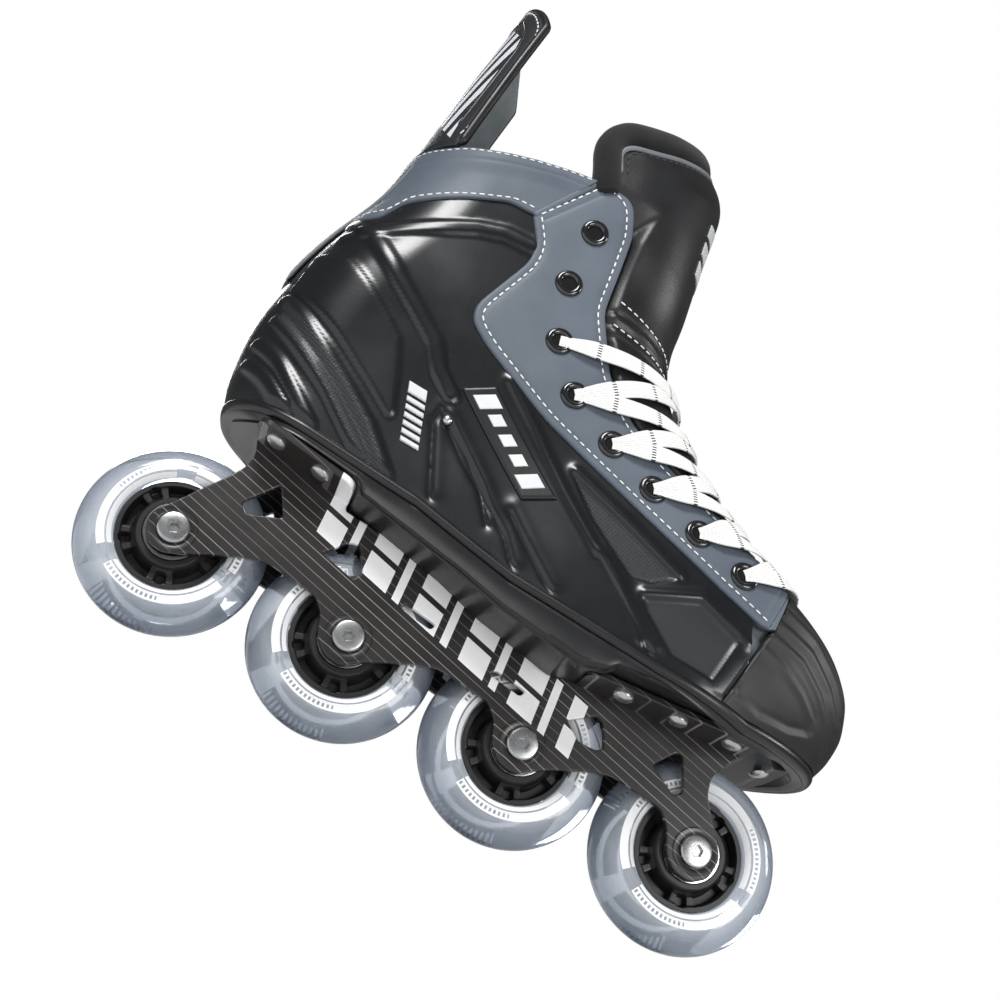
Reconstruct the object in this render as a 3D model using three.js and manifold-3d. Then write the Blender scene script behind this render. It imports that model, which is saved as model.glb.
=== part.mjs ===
// One right-foot inline skate: a moulded boot on a four-wheel frame.
// Millimetres. +X points to the toe, -Y to the outer (lateral) side, +Z up.
// The origin is on the ground, midway between the two middle axles, on the wheels' centre plane.
import * as THREE from 'three';
import { mergeVertices } from 'three/addons/utils/BufferGeometryUtils.js';
import Module from 'manifold-3d';

const wasm = await Module();
wasm.setup();

// ---------------------------------------------------------------- driving sizes

const WHEEL_COUNT = 4;
const WHEEL_DIAMETER = 72;
const WHEEL_WIDTH = 24;
const AXLE_PITCH = 74.5;
const TREAD_SEGMENTS = 24;
const TREAD_ROUND_STEPS = 3;
const TREAD_FLAT_WIDTH = 3;         // narrow flat band in the middle of the tread
const HUB_DIAMETER = 42;
const HUB_RIM_WIDTH = 17;
const HUB_RIM_WALL = 3;
const HUB_WEB_THICKNESS = 7;
const HUB_BARREL_LENGTH = 24;
const HUB_SEGMENTS = 12;
const HUB_POCKETS = 5;
const HUB_POCKET_ANGLE = 48;        // degrees of arc that one pocket spans

const BEARING_OUTER_DIAMETER = 22;
const BEARING_BORE = 8;
const BEARING_WIDTH = 7;
const BEARING_OUTER_RACE_WALL = 1.7;
const BEARING_INNER_RACE_WALL = 2;
const BEARING_SHIELD = 0.8;
const BEARING_SEGMENTS = 10;

const HUB_BARREL_DIAMETER = BEARING_OUTER_DIAMETER + 5;

const AXLE_DIAMETER = 7.6;
const AXLE_HEAD_DIAMETER = 12;
const AXLE_HEAD_HEIGHT = 1.8;
const AXLE_SOCKET_WIDTH = 4;        // hexagon socket, across flats
const AXLE_SOCKET_DEPTH = 1.2;

const RAIL_INSIDE = 12.8;           // centre plane to the inner face of one frame rail
const RAIL_WALL = 2.8;
const RAIL_TOP = 77;                // top of the rails under the arch and ball of the foot
const WEB_THICKNESS = 2.4;
const PLATFORM_HALF_WIDTH = 34;
const PLATFORM_THICKNESS = 2.6;

const RIVET_HEAD_DIAMETER = 8;
const RIVET_HEAD_HEIGHT = 2;
const RIVET_SHANK_DIAMETER = 4;

const SHELL_WALL = 2.6;             // moulded quarter
const LEATHER = 1;                  // eyestay and collar skins
const LINER_WALL = 4.4;
const TONGUE_THICKNESS = 7;
const TOE_CAP_RAISE = 1.2;
const GUARD_WALL = 5;
const BOARD_THICKNESS = 1.8;
const FOOTBED_THICKNESS = 3.5;
const SOLE_BEAD = 2.4;
const SOLE_BEAD_HEIGHT = 3.5;

const EYELETS_PER_SIDE = 8;
const LACED_EYELETS = 6;
const EYELET_DIAMETER = 10.4;
const EYELET_HOLE = 5.6;
const EYELET_FLANGE = 0.7;
const EYELET_SEGMENTS = 6;
const STRIP_HALF_WIDTH = 7.5;
const LACE_WIDTH = 8;
const LACE_THICKNESS = 1.1;
const CROSSING_SLOPE = 2;           // how steeply a lace crossing climbs over the instep
const CUTTER_DEPTH = 9;

const EYELET_SEAT_GAP = 0.9;         // flat flange over the curved leather
const LACE_GAP = 1.3;               // lace over the eyelet flanges
const GAP = 0.3;                    // between pieces that touch
const SLIDE_GAP = 0.5;              // between pieces that turn past each other
const TONGUE_EDGE_GAP = 1;          // tongue to facing edge
const TONGUE_WING = 11;             // how far the tongue runs under the facings

// ---------------------------------------------------------------- derived sizes

const WHEEL_RADIUS = WHEEL_DIAMETER / 2;
const AXLE_HEIGHT = WHEEL_RADIUS;
const RAIL_OUTSIDE = RAIL_INSIDE + RAIL_WALL;
const WHEEL_FACE = WHEEL_WIDTH / 2;
const AXLE_X = Array.from({ length: WHEEL_COUNT },
  (unused, i) => ((WHEEL_COUNT - 1) / 2 - i) * AXLE_PITCH);      // front wheel first

// ---------------------------------------------------------------- boot form (side view lines)

// Rear and front edge of the boot at each height, as [z, x].
const HEEL_LINE = [[70, -116], [84, -121], [98, -129], [119, -134.5], [134, -135.5], [160, -133.5],
  [178, -130], [200, -123.5], [219, -121.5], [284, -121], [340, -119.5]];
const INSTEP_LINE = [[70, 120], [76, 134], [84, 141], [96, 146], [107, 147.5], [120, 144], [130, 135],
  [136, 122], [140, 104], [150, 82], [160, 62], [175, 40], [190, 26], [206, 17], [220, 13], [263, 5],
  [300, 0], [340, -2]];
// Half widths along the foot, as [x, half width], for the two sides.
const LATERAL_HALF_WIDTH = [[-135, 30], [-100, 33], [-60, 34], [-20, 37], [20, 42.5], [60, 47],
  [80, 48], [100, 46], [125, 42], [150, 38]];
const MEDIAL_HALF_WIDTH = [[-135, 30], [-100, 33], [-60, 32], [-20, 32], [20, 38], [60, 45],
  [90, 48], [110, 46.5], [130, 42], [150, 38]];
// Half width of the ankle and cuff, as [z, half width].
const SHAFT_HALF_WIDTH = [[84, 33], [120, 36], [160, 38], [200, 37], [230, 39], [250, 42], [335, 40]];
const HEEL_CAP_DEPTH = [[80, 34], [120, 36], [200, 38], [335, 40]];
const FRONT_CAP_DEPTH = [[80, 62], [125, 62], [140, 60], [170, 46], [335, 40]];
const SHAFT_BLEND_FROM = 95;
const SHAFT_BLEND_HEIGHT = 85;

// Heights at which the boot is sliced; closer together over the instep.
const SLICE_HEIGHTS = [66, 82, 98, 116, 130, 138, 145, 157, 174, 198, 235, 285, 338];
const CAP_STEPS = 4;
const SIDE_STEPS = 3;

// Side-view outlines on the boot, as [x, z].
const WELT_LINE = [[-170, 92], [-107, 92], [-40, 89], [0, 81.5], [60, 78.5], [100, 79.5], [131, 86],
  [170, 96]];
const FLOOR_LINE = [[-170, 97], [-100, 96], [-60, 95], [0, 88], [50, 84], [100, 85], [131, 90], [170, 96]];
const REAR_PLATFORM = [[-107, 85.6], [-64, 82.4]];
const FRONT_PLATFORM = [[44, 69.6], [76, 74], [113, 79.6]];
const BELLY_LINE = [[-62, 78.6], [-20, 72.2], [0, 67.7], [33, 63.6], [43, 67]];
const FACING_EDGE = [[-33, 248], [-26, 234], [-23, 217], [-20, 198], [-5, 174], [12, 161], [35, 152],
  [60, 146], [80, 143], [97, 140]];
const EYESTAY_LOWER_EDGE = [[-64, 217], [-57, 208], [-56, 199], [-64, 170], [-62, 163], [-52, 157],
  [-18, 143], [13, 134], [37, 127], [56, 121.5], [71, 117], [92, 112]];
const COLLAR_LOWER_EDGE = [[-150, 172], [-116, 186], [-111, 197], [-98, 205], [-76, 218], [-66, 219]];
const COLLAR_TOP_EDGE = [[-150, 229], [-108, 232], [-91, 236], [-75, 242], [-59, 246.5], [-44, 248.5],
  [-30, 247]];
const COLLAR_SEAM = [[-65, 218], [-49, 250]];
const THROAT_END = 97;
const TOE_SEAM = [[87, 60], [89, 80], [93, 106], [96, 126], [THROAT_END, 135], [THROAT_END, 150]];
const TONGUE_SEAM = [[-60, 190], [60, 208]];
const GUARD_FRONT_EDGE = [[-106, 234], [-103, 243], [-101.5, 270], [-101, 293], [-104, 308], [-111, 322],
  [-121, 336]];
const EYELET_ROW = [[-40, 226], [-38, 200], [-29, 175], [-13, 158], [9, 148], [31, 140], [54, 133],
  [76, 127]];

// Windows cut through both rails, as [x, z].
const RAIL_WINDOWS = [
  [[-97, 58.5], [-88.5, 72.3], [-81, 61.5], [-93.7, 55.1]],
  [[-62, 58], [-55, 67.8], [-51.8, 68.4], [-45.3, 60], [-47, 55.6]],
  [[-27, 55.8], [-25.5, 58.6], [-12, 57.6], [-13, 54.8]],
  [[14, 52.2], [15.5, 55], [29, 54], [28, 51.2]],
  [[47.4, 53.1], [57, 60.8], [60, 59.6], [64.5, 51], [62, 48.8], [54.8, 48.4]],
  [[83.4, 55.9], [89.6, 65], [92.2, 65], [98.1, 52.8], [95.5, 49.8]],
];

// ---------------------------------------------------------------- small helpers

const FAR = 400;
const smoothstep = (u) => u * u * (3 - 2 * u);
const clamp01 = (u) => Math.min(Math.max(u, 0), 1);

/** Linear look-up in a table of [key, value] rows. */
function lookUp(table, key) {
  if (key <= table[0][0]) return table[0][1];
  for (let i = 1; i < table.length; i += 1) {
    if (key <= table[i][0]) {
      const u = (key - table[i - 1][0]) / (table[i][0] - table[i - 1][0]);
      return table[i - 1][1] + u * (table[i][1] - table[i - 1][1]);
    }
  }
  return table[table.length - 1][1];
}

/** The same look-up with its corners rounded over a window of the given width. */
function softLookUp(table, key, window = 8) {
  return (lookUp(table, key - window / 2) + 2 * lookUp(table, key) + lookUp(table, key + window / 2)) / 4;
}

/** Corner radius that keeps a faceted hole at least `radius` wide across its flats. */
const acrossFlats = (radius, segments) => radius / Math.cos(Math.PI / segments);

/** A closed three.js geometry as a manifold solid. */
function solidOf(geometry) {
  const bare = geometry.clone();
  bare.deleteAttribute('normal');
  bare.deleteAttribute('uv');
  const merged = mergeVertices(bare, 1e-4);
  return new wasm.Manifold(new wasm.Mesh({
    numProp: 3,
    vertProperties: new Float32Array(merged.attributes.position.array),
    triVerts: new Uint32Array(merged.index.array),
  }));
}

/** A manifold solid as a three.js geometry. */
function geometryOf(solid) {
  const mesh = solid.getMesh();
  const geometry = new THREE.BufferGeometry();
  geometry.setAttribute('position', new THREE.BufferAttribute(new Float32Array(mesh.vertProperties), 3));
  geometry.setIndex(new THREE.BufferAttribute(new Uint32Array(mesh.triVerts), 1));
  geometry.computeVertexNormals();
  return geometry;
}

/** A straight-edged or splined closed outline, given as [x, z] points. */
function outline(points) {
  return new THREE.Shape(points.map(([x, z]) => new THREE.Vector2(x, z)));
}

/** Points of a smooth curve through [x, z] points. */
function smoothLine(points, steps) {
  const curve = new THREE.SplineCurve(points.map(([x, z]) => new THREE.Vector2(x, z)));
  return curve.getPoints(steps).map((p) => [p.x, p.y]);
}

/** Extrudes a side-view outline across the skate, from yLow to yHigh. */
function acrossSkate(shape, yLow, yHigh) {
  const geometry = new THREE.ExtrudeGeometry(shape, { depth: yHigh - yLow, bevelEnabled: false });
  geometry.rotateX(Math.PI / 2);
  geometry.translate(0, yHigh, 0);
  return solidOf(geometry);
}

/** Lathe ring about the Y axis through the origin, from [radius, y] points that close on themselves. */
function ringAboutY(profile, segments) {
  const points = [...profile, profile[0]].map(([r, y]) => new THREE.Vector2(r, y));
  const geometry = new THREE.LatheGeometry(points, segments);
  geometry.rotateY(Math.PI / segments);
  return geometry;
}

function boxSolid(low, high) {
  const size = high.map((value, i) => value - low[i]);
  const geometry = new THREE.BoxGeometry(...size);
  geometry.translate(...high.map((value, i) => (value + low[i]) / 2));
  return solidOf(geometry);
}

const movedLine = (line, dx, dz) => line.map(([x, z]) => [x + dx, z + dz]);

/** The region below a side-view line. */
function below(line) {
  const first = line[0];
  const last = line[line.length - 1];
  return acrossSkate(outline([...line, [last[0], -FAR], [first[0], -FAR]]), -FAR, FAR);
}

/** The region above a side-view line. */
function above(line) {
  const first = line[0];
  const last = line[line.length - 1];
  return acrossSkate(outline([...line, [last[0], FAR * 2], [first[0], FAR * 2]]), -FAR, FAR);
}

/** A side-view line moved sideways, to the left of its own direction when `distance` is positive. */
function offsetLine(line, distance) {
  return line.map(([x, z], i) => {
    const before = line[Math.max(i - 1, 0)];
    const after = line[Math.min(i + 1, line.length - 1)];
    const dx = after[0] - before[0];
    const dz = after[1] - before[1];
    const length = Math.hypot(dx, dz);
    return [x - (distance * dz) / length, z + (distance * dx) / length];
  });
}

// ---------------------------------------------------------------- boot skin

/** Half width of the full section at one place, before the rounded ends are applied. */
function bodyHalfWidth(x, z, side) {
  const foot = softLookUp(side < 0 ? LATERAL_HALF_WIDTH : MEDIAL_HALF_WIDTH, x, 20);
  const shaft = softLookUp(SHAFT_HALF_WIDTH, z, 20);
  const k = smoothstep(clamp01((z - SHAFT_BLEND_FROM) / SHAFT_BLEND_HEIGHT));
  return foot * (1 - k) + shaft * k;
}

/** One point of the boot's outer skin: u runs from the heel (0) to the front (1) along one side. */
function skinPoint(u, z, side) {
  const rear = softLookUp(HEEL_LINE, z);
  const front = softLookUp(INSTEP_LINE, z, 4);
  const rearCap = lookUp(HEEL_CAP_DEPTH, z);
  const frontCap = lookUp(FRONT_CAP_DEPTH, z);
  const rearShare = CAP_STEPS / (2 * CAP_STEPS + SIDE_STEPS);
  let x;
  let roundness = 1;
  if (u < rearShare) {
    const angle = (u / rearShare) * (Math.PI / 2);
    x = rear + rearCap * (1 - Math.cos(angle));
    roundness = Math.sin(angle);
  } else if (u > 1 - rearShare) {
    const angle = ((1 - u) / rearShare) * (Math.PI / 2);
    x = front - frontCap * (1 - Math.cos(angle));
    roundness = Math.sin(angle);
  } else {
    const v = (u - rearShare) / (1 - 2 * rearShare);
    x = (rear + rearCap) * (1 - v) + (front - frontCap) * v;
  }
  return new THREE.Vector3(x, side * bodyHalfWidth(x, z, side) * roundness, z);
}

/** A skin point pushed out along the skin's own normal by `offset`. */
function offsetSkinPoint(u, z, side, offset) {
  const step = 0.01;
  const uLow = Math.max(u - step, 0);
  const uHigh = Math.min(u + step, 1);
  const point = skinPoint(u, z, side);
  const along = uLow === 0 || uHigh === 1
    ? new THREE.Vector3(0, side * (uLow === 0 ? 1 : -1), 0)
    : skinPoint(uHigh, z, side).sub(skinPoint(uLow, z, side));
  const up = skinPoint(u, z + 1, side).sub(skinPoint(u, z - 1, side));
  const normal = along.cross(up).normalize().multiplyScalar(-side);
  return point.addScaledVector(normal, offset);
}

/** The boot's whole form as a closed solid, its skin moved out by `offset`. */
function bootForm(offset) {
  const perSide = 2 * CAP_STEPS + SIDE_STEPS;
  const rings = SLICE_HEIGHTS.map((z) => {
    const ring = [];
    for (let i = 0; i < perSide; i += 1) ring.push(offsetSkinPoint(i / perSide, z, -1, offset));
    for (let i = perSide; i > 0; i -= 1) ring.push(offsetSkinPoint(i / perSide, z, 1, offset));
    return ring;
  });
  const count = 2 * perSide;
  const centre = (ring, z) => {
    const middle = ring.reduce((sum, p) => sum.add(p), new THREE.Vector3()).divideScalar(count);
    middle.z = z;
    return middle;
  };
  const positions = rings.flat().concat([
    centre(rings[0], SLICE_HEIGHTS[0]),
    centre(rings[rings.length - 1], SLICE_HEIGHTS[rings.length - 1]),
  ]).flatMap((p) => [p.x, p.y, p.z]);
  const index = [];
  for (let j = 0; j < rings.length - 1; j += 1) {
    for (let i = 0; i < count; i += 1) {
      const a = j * count + i;
      const b = j * count + ((i + 1) % count);
      index.push(a, b, b + count, a, b + count, a + count);
    }
  }
  const bottom = rings.length * count;
  const top = bottom + 1;
  for (let i = 0; i < count; i += 1) {
    const next = (i + 1) % count;
    index.push(bottom, next, i);
    index.push(top, (rings.length - 1) * count + i, (rings.length - 1) * count + next);
  }
  const geometry = new THREE.BufferGeometry();
  geometry.setAttribute('position', new THREE.Float32BufferAttribute(positions, 3));
  geometry.setIndex(index);
  return solidOf(geometry);
}

/** A skin layer of the boot between two offsets. */
const bootLayer = (outer, inner) => bootForm(outer).subtract(bootForm(inner));

// ---------------------------------------------------------------- side-view regions

/** The open throat in front of the facing edge, grown backwards by `growth`. */
function throatRegion(growth) {
  return inFrontOf(offsetLine(FACING_EDGE, -growth), Math.min(growth, 0));
}

/** Everything ahead of and above a line that runs down the throat, ending at the throat's toe end. */
function inFrontOf(line, endShift) {
  const first = line[0];
  const end = THROAT_END + endShift;
  const kept = line.filter(([x]) => x < end);
  const foot = [end, kept[kept.length - 1][1]];
  return acrossSkate(outline([[first[0] - 4, FAR], ...kept, foot, [end, FAR]]), -FAR, FAR);
}

/** The strip of facing that carries the eyelets, and everything in front of it. */
function facingRegion() {
  const row = offsetLine(smoothLine(EYELET_ROW, 9), -STRIP_HALF_WIDTH - GAP);
  return inFrontOf([[row[0][0], COLLAR_TOP_EDGE[0][1]], ...row], 0);
}

/** Everything in front of the toe seam, starting `gap` ahead of it. */
function aheadOfToeSeam(gap) {
  const seam = movedLine(TOE_SEAM, gap, 0);
  const top = [seam[seam.length - 1][0], FAR];
  return acrossSkate(outline([...seam, top, [FAR, FAR], [FAR, seam[0][1]]]), -FAR, FAR);
}

/** The band that the eyestay leather covers on one side of the boot. */
function eyestayRegion(lowerShift) {
  const lower = offsetLine(smoothLine(EYESTAY_LOWER_EDGE, 14), -lowerShift);
  const points = [...lower, [93.5, 112], [97, 124], [96, 136], ...[...FACING_EDGE].reverse().slice(1),
    [-34, 250], [-49, 250]];
  return outline(points);
}

// ---------------------------------------------------------------- wheel pieces

function tyreGeometry() {
  const treadRadius = acrossFlats(WHEEL_RADIUS, TREAD_SEGMENTS);
  const flat = TREAD_FLAT_WIDTH / 2;
  const bore = acrossFlats(HUB_DIAMETER / 2 + GAP, TREAD_SEGMENTS);
  const profile = [[treadRadius, -flat], [treadRadius, flat]];
  const tubeRadius = WHEEL_FACE - flat;
  for (let i = 1; i <= TREAD_ROUND_STEPS; i += 1) {
    const angle = (i / TREAD_ROUND_STEPS) * (Math.PI / 2);
    profile.push([treadRadius - tubeRadius * (1 - Math.cos(angle)), flat + tubeRadius * Math.sin(angle)]);
  }
  profile.push([bore, HUB_RIM_WIDTH / 2 + 0.6], [bore, -HUB_RIM_WIDTH / 2 - 0.6]);
  for (let i = TREAD_ROUND_STEPS; i >= 1; i -= 1) {
    const angle = (i / TREAD_ROUND_STEPS) * (Math.PI / 2);
    profile.push([treadRadius - tubeRadius * (1 - Math.cos(angle)), -flat - tubeRadius * Math.sin(angle)]);
  }
  return ringAboutY(profile, TREAD_SEGMENTS);
}

function hubGeometry() {
  const rim = HUB_DIAMETER / 2;
  const rimInside = rim - HUB_RIM_WALL;
  const barrel = HUB_BARREL_DIAMETER / 2;
  const web = HUB_WEB_THICKNESS / 2;
  const half = HUB_BARREL_LENGTH / 2;
  const seat = acrossFlats(BEARING_OUTER_DIAMETER / 2 + GAP, HUB_SEGMENTS);
  const shoulder = half - BEARING_WIDTH - GAP;
  const bore = seat - 2;
  const face = HUB_RIM_WIDTH / 2;
  const body = solidOf(ringAboutY([
    [rim, -face], [rim, face], [rimInside, face], [barrel, web], [barrel, half],
    [seat, half], [seat, shoulder], [bore, shoulder], [bore, -shoulder], [seat, -shoulder], [seat, -half],
    [barrel, -half], [barrel, -web], [rimInside, -face],
  ], HUB_SEGMENTS));
  let cut = body;
  for (let i = 0; i < HUB_POCKETS; i += 1) {
    const middle = (i / HUB_POCKETS) * Math.PI * 2;
    const halfArc = THREE.MathUtils.degToRad(HUB_POCKET_ANGLE / 2);
    const shape = new THREE.Shape();
    shape.absarc(0, 0, rimInside - 0.4, middle - halfArc, middle + halfArc, false);
    shape.absarc(0, 0, barrel + 0.4, middle + halfArc, middle - halfArc, true);
    shape.closePath();
    const settings = { depth: WHEEL_WIDTH, bevelEnabled: false, curveSegments: 2 };
    const geometry = new THREE.ExtrudeGeometry(shape, settings);
    geometry.rotateX(Math.PI / 2);
    geometry.translate(0, WHEEL_WIDTH / 2, 0);
    cut = cut.subtract(solidOf(geometry));
  }
  return geometryOf(cut);
}

/** Bearing outer race with the shield on its outward face; `side` is the way that face looks. */
function outerRaceGeometry(side) {
  const outside = BEARING_OUTER_DIAMETER / 2;
  const inside = outside - BEARING_OUTER_RACE_WALL;
  const shield = BEARING_BORE / 2 + BEARING_INNER_RACE_WALL + SLIDE_GAP;
  const half = BEARING_WIDTH / 2;
  const profile = [[outside, -half], [outside, half], [shield, half], [shield, half - BEARING_SHIELD],
    [inside, half - BEARING_SHIELD], [inside, -half]];
  const geometry = ringAboutY(profile, BEARING_SEGMENTS);
  if (side < 0) geometry.rotateX(Math.PI);
  return geometry;
}

function innerRaceGeometry() {
  const half = BEARING_WIDTH / 2;
  const bore = acrossFlats(BEARING_BORE / 2, BEARING_SEGMENTS);
  const outside = BEARING_BORE / 2 + BEARING_INNER_RACE_WALL;
  return ringAboutY([[outside, -half], [outside, half], [bore, half], [bore, -half]], BEARING_SEGMENTS);
}

function spacerGeometry() {
  const half = HUB_BARREL_LENGTH / 2 - BEARING_WIDTH - GAP;
  const bore = acrossFlats(BEARING_BORE / 2, BEARING_SEGMENTS);
  const outside = BEARING_BORE / 2 + BEARING_INNER_RACE_WALL - 0.3;
  return ringAboutY([[outside, -half], [outside, half], [bore, half], [bore, -half]], BEARING_SEGMENTS);
}

/** Axle bolt along Y: a domed socket head outside each rail, joined by the shank. */
function axleGeometry() {
  const seat = RAIL_OUTSIDE + GAP;
  const head = AXLE_HEAD_DIAMETER / 2;
  const tip = seat + AXLE_HEAD_HEIGHT;
  const shank = AXLE_DIAMETER / 2;
  const rim = head - 1;
  const profile = [[0, -tip], [rim, -tip], [head, -tip + 1], [head, -seat], [shank, -seat], [shank, seat],
    [head, seat], [head, tip - 1], [rim, tip], [0, tip]];
  const lathe = new THREE.LatheGeometry(profile.map(([r, y]) => new THREE.Vector2(r, y)), 8);
  let bolt = solidOf(lathe);
  for (const side of [-1, 1]) {
    const socket = new THREE.CylinderGeometry(acrossFlats(AXLE_SOCKET_WIDTH / 2, 6),
      acrossFlats(AXLE_SOCKET_WIDTH / 2, 6), AXLE_SOCKET_DEPTH * 2, 6);
    socket.translate(0, side * tip, 0);
    bolt = bolt.subtract(solidOf(socket));
  }
  return geometryOf(bolt);
}

// ---------------------------------------------------------------- frame

/** Side-view outline of one frame rail, built round the axle positions. */
function railOutline() {
  const lower = [];
  const front = AXLE_X[0];
  const rear = AXLE_X[WHEEL_COUNT - 1];
  lower.push([rear - 5.5, AXLE_HEIGHT + 9], [rear - 9.5, AXLE_HEIGHT + 3], [rear - 9.6, AXLE_HEIGHT - 3],
    [rear - 5, AXLE_HEIGHT - 9], [rear + 1, AXLE_HEIGHT - 9.6]);
  for (let i = WHEEL_COUNT - 2; i >= 0; i -= 1) {
    const previous = AXLE_X[i + 1];
    const axle = AXLE_X[i];
    lower.push([previous + 9, AXLE_HEIGHT - 5.6], [previous + 17, AXLE_HEIGHT - 0.5],
      [previous + 26, AXLE_HEIGHT + 4.5], [previous + 34, AXLE_HEIGHT + 8.2],
      [axle - 18, AXLE_HEIGHT + 7], [axle - 13, AXLE_HEIGHT + 2],
      [axle - 9.5, AXLE_HEIGHT - 6], [axle - 4, AXLE_HEIGHT - 10.5], [axle + 3, AXLE_HEIGHT - 11]);
  }
  lower.push([front + 8.5, AXLE_HEIGHT - 6.5], [front + 9.5, AXLE_HEIGHT + 2], [front + 5, AXLE_HEIGHT + 9]);
  const upper = [[front, 50.5], [front - 4.7, 57], [front - 6.4, 63.5], [front - 4.5, 68.5],
    [113, lookUp(FRONT_PLATFORM, 113) - GAP],
    [104, lookUp(FRONT_PLATFORM, 104) - GAP], [100, RAIL_TOP], [REAR_PLATFORM[1][0], RAIL_TOP],
    [REAR_PLATFORM[1][0], REAR_PLATFORM[1][1] - GAP], [REAR_PLATFORM[0][0], REAR_PLATFORM[0][1] - GAP],
    [-103, 77], [-103.4, 71], [-107.5, 62.5], [-112.5, 54]];
  return outline([...lower, ...upper]);
}

/** A plate that follows a platform line, as wide as the boot's mounting lugs. */
function platformPlate(line, halfWidth) {
  const top = movedLine(line, 0, -GAP);
  const bottom = movedLine(line, 0, -GAP - PLATFORM_THICKNESS).reverse();
  return acrossSkate(outline([...top, ...bottom]), -halfWidth, halfWidth);
}

function frameGeometry() {
  const rail = railOutline();
  for (const window of RAIL_WINDOWS) {
    rail.holes.push(new THREE.Path(window.map(([x, z]) => new THREE.Vector2(x, z))));
  }
  const bore = AXLE_DIAMETER / 2 + GAP;
  for (const x of AXLE_X) {
    const hole = new THREE.Path();
    hole.absarc(x, AXLE_HEIGHT, acrossFlats(bore, 10), 0, Math.PI * 2, true);
    rail.holes.push(new THREE.Path(hole.getSpacedPoints(10).slice(0, 10)));
  }
  const webTop = RAIL_TOP;
  const pieces = [
    acrossSkate(rail, -RAIL_OUTSIDE, -RAIL_INSIDE),
    acrossSkate(rail, RAIL_INSIDE, RAIL_OUTSIDE),
    boxSolid([REAR_PLATFORM[1][0] - 2, -RAIL_INSIDE - 1, webTop - WEB_THICKNESS],
      [101, RAIL_INSIDE + 1, webTop]),
    platformPlate(REAR_PLATFORM, PLATFORM_HALF_WIDTH),
    platformPlate(FRONT_PLATFORM, PLATFORM_HALF_WIDTH).subtract(
      boxSolid([40, -RAIL_INSIDE - 1, 60], [100.5, RAIL_INSIDE + 1, RAIL_TOP - WEB_THICKNESS])),
  ];
  let frame = pieces.reduce((sum, piece) => sum.add(piece));
  for (const rivet of RIVETS) frame = frame.subtract(rivetHole(rivet, RIVET_SHANK_DIAMETER / 2 + GAP));
  return geometryOf(frame);
}

// ---------------------------------------------------------------- rivets

// Rivets that hold the boot to the frame, each under the platform line it goes through.
const RIVETS = [
  ...[['front', 60], ['middle', 82], ['rear', 104]].flatMap(([place, x]) => [
    { name: `rivet_front_platform_${place}_lateral`, x, y: -26, line: FRONT_PLATFORM },
    { name: `rivet_front_platform_${place}_medial`, x, y: 26, line: FRONT_PLATFORM },
  ]),
  ...[['front', -78], ['rear', -98]].flatMap(([place, x]) => [
    { name: `rivet_rear_platform_${place}_lateral`, x, y: -26, line: REAR_PLATFORM },
    { name: `rivet_rear_platform_${place}_medial`, x, y: 26, line: REAR_PLATFORM },
  ]),
];

const underPlatform = (line, x) => lookUp(line, x) - GAP - PLATFORM_THICKNESS;

function platformTilt(line) {
  const first = line[0];
  const last = line[line.length - 1];
  return -Math.atan2(last[1] - first[1], last[0] - first[0]);
}

/** The hole that a rivet's shank passes through, as a solid to cut away. */
function rivetHole(rivet, radius) {
  const hole = new THREE.CylinderGeometry(radius, radius, 30, 6);
  hole.rotateX(Math.PI / 2);
  hole.rotateY(platformTilt(rivet.line));
  hole.translate(rivet.x, rivet.y, underPlatform(rivet.line, rivet.x));
  return solidOf(hole);
}

/** A domed rivet, its head below the platform and its shank going up into the outsole. */
function rivetGeometry(rivet) {
  const head = RIVET_HEAD_DIAMETER / 2;
  const shank = RIVET_SHANK_DIAMETER / 2;
  const shankLength = PLATFORM_THICKNESS + 3.5;
  const profile = [[0, -GAP - RIVET_HEAD_HEIGHT], [head * 0.55, -GAP - RIVET_HEAD_HEIGHT * 0.85],
    [head, -GAP - 0.5], [head, -GAP], [shank, -GAP], [shank, shankLength], [0, shankLength]];
  const lathe = new THREE.LatheGeometry(profile.map(([r, y]) => new THREE.Vector2(r, y)), 6);
  lathe.rotateX(Math.PI / 2);
  lathe.rotateY(platformTilt(rivet.line));
  return lathe;
}

// ---------------------------------------------------------------- sole pieces

function outsoleGeometry() {
  const rail = RAIL_OUTSIDE + GAP;
  const underside = [[-170, 90], [-128, 88], [-113, 86], ...REAR_PLATFORM, ...BELLY_LINE,
    ...FRONT_PLATFORM, [124, 77.5], [138, 86.5], [170, 100]];
  const flank = bootForm(SOLE_BEAD * 0.4).intersect(below(WELT_LINE)).intersect(above(underside));
  const bead = bootForm(SOLE_BEAD).intersect(below(WELT_LINE))
    .intersect(above(movedLine(WELT_LINE, 0, -SOLE_BEAD_HEIGHT)));
  const plateau = bootForm(-SHELL_WALL - GAP).intersect(below(movedLine(FLOOR_LINE, 0, -GAP)))
    .intersect(above(movedLine(WELT_LINE, 0, -SOLE_BEAD_HEIGHT)));
  const channel = boxSolid([REAR_PLATFORM[1][0] - GAP, -rail, 0], [102, rail, RAIL_TOP + GAP]);
  let sole = flank.add(bead).add(plateau).intersect(above(underside)).subtract(channel);
  for (const rivet of RIVETS) sole = sole.subtract(rivetHole(rivet, RIVET_SHANK_DIAMETER / 2 + GAP));
  return geometryOf(sole);
}

const boardTop = movedLine(FLOOR_LINE, 0, BOARD_THICKNESS);
const linerInside = SHELL_WALL + GAP + LINER_WALL;

function lastingBoardGeometry() {
  return geometryOf(bootForm(-SHELL_WALL - GAP).intersect(above(FLOOR_LINE)).intersect(below(boardTop)));
}

function footbedGeometry() {
  const low = movedLine(boardTop, 0, GAP);
  const high = movedLine(low, 0, FOOTBED_THICKNESS);
  return geometryOf(bootForm(-linerInside - GAP).intersect(above(low)).intersect(below(high)));
}

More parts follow.
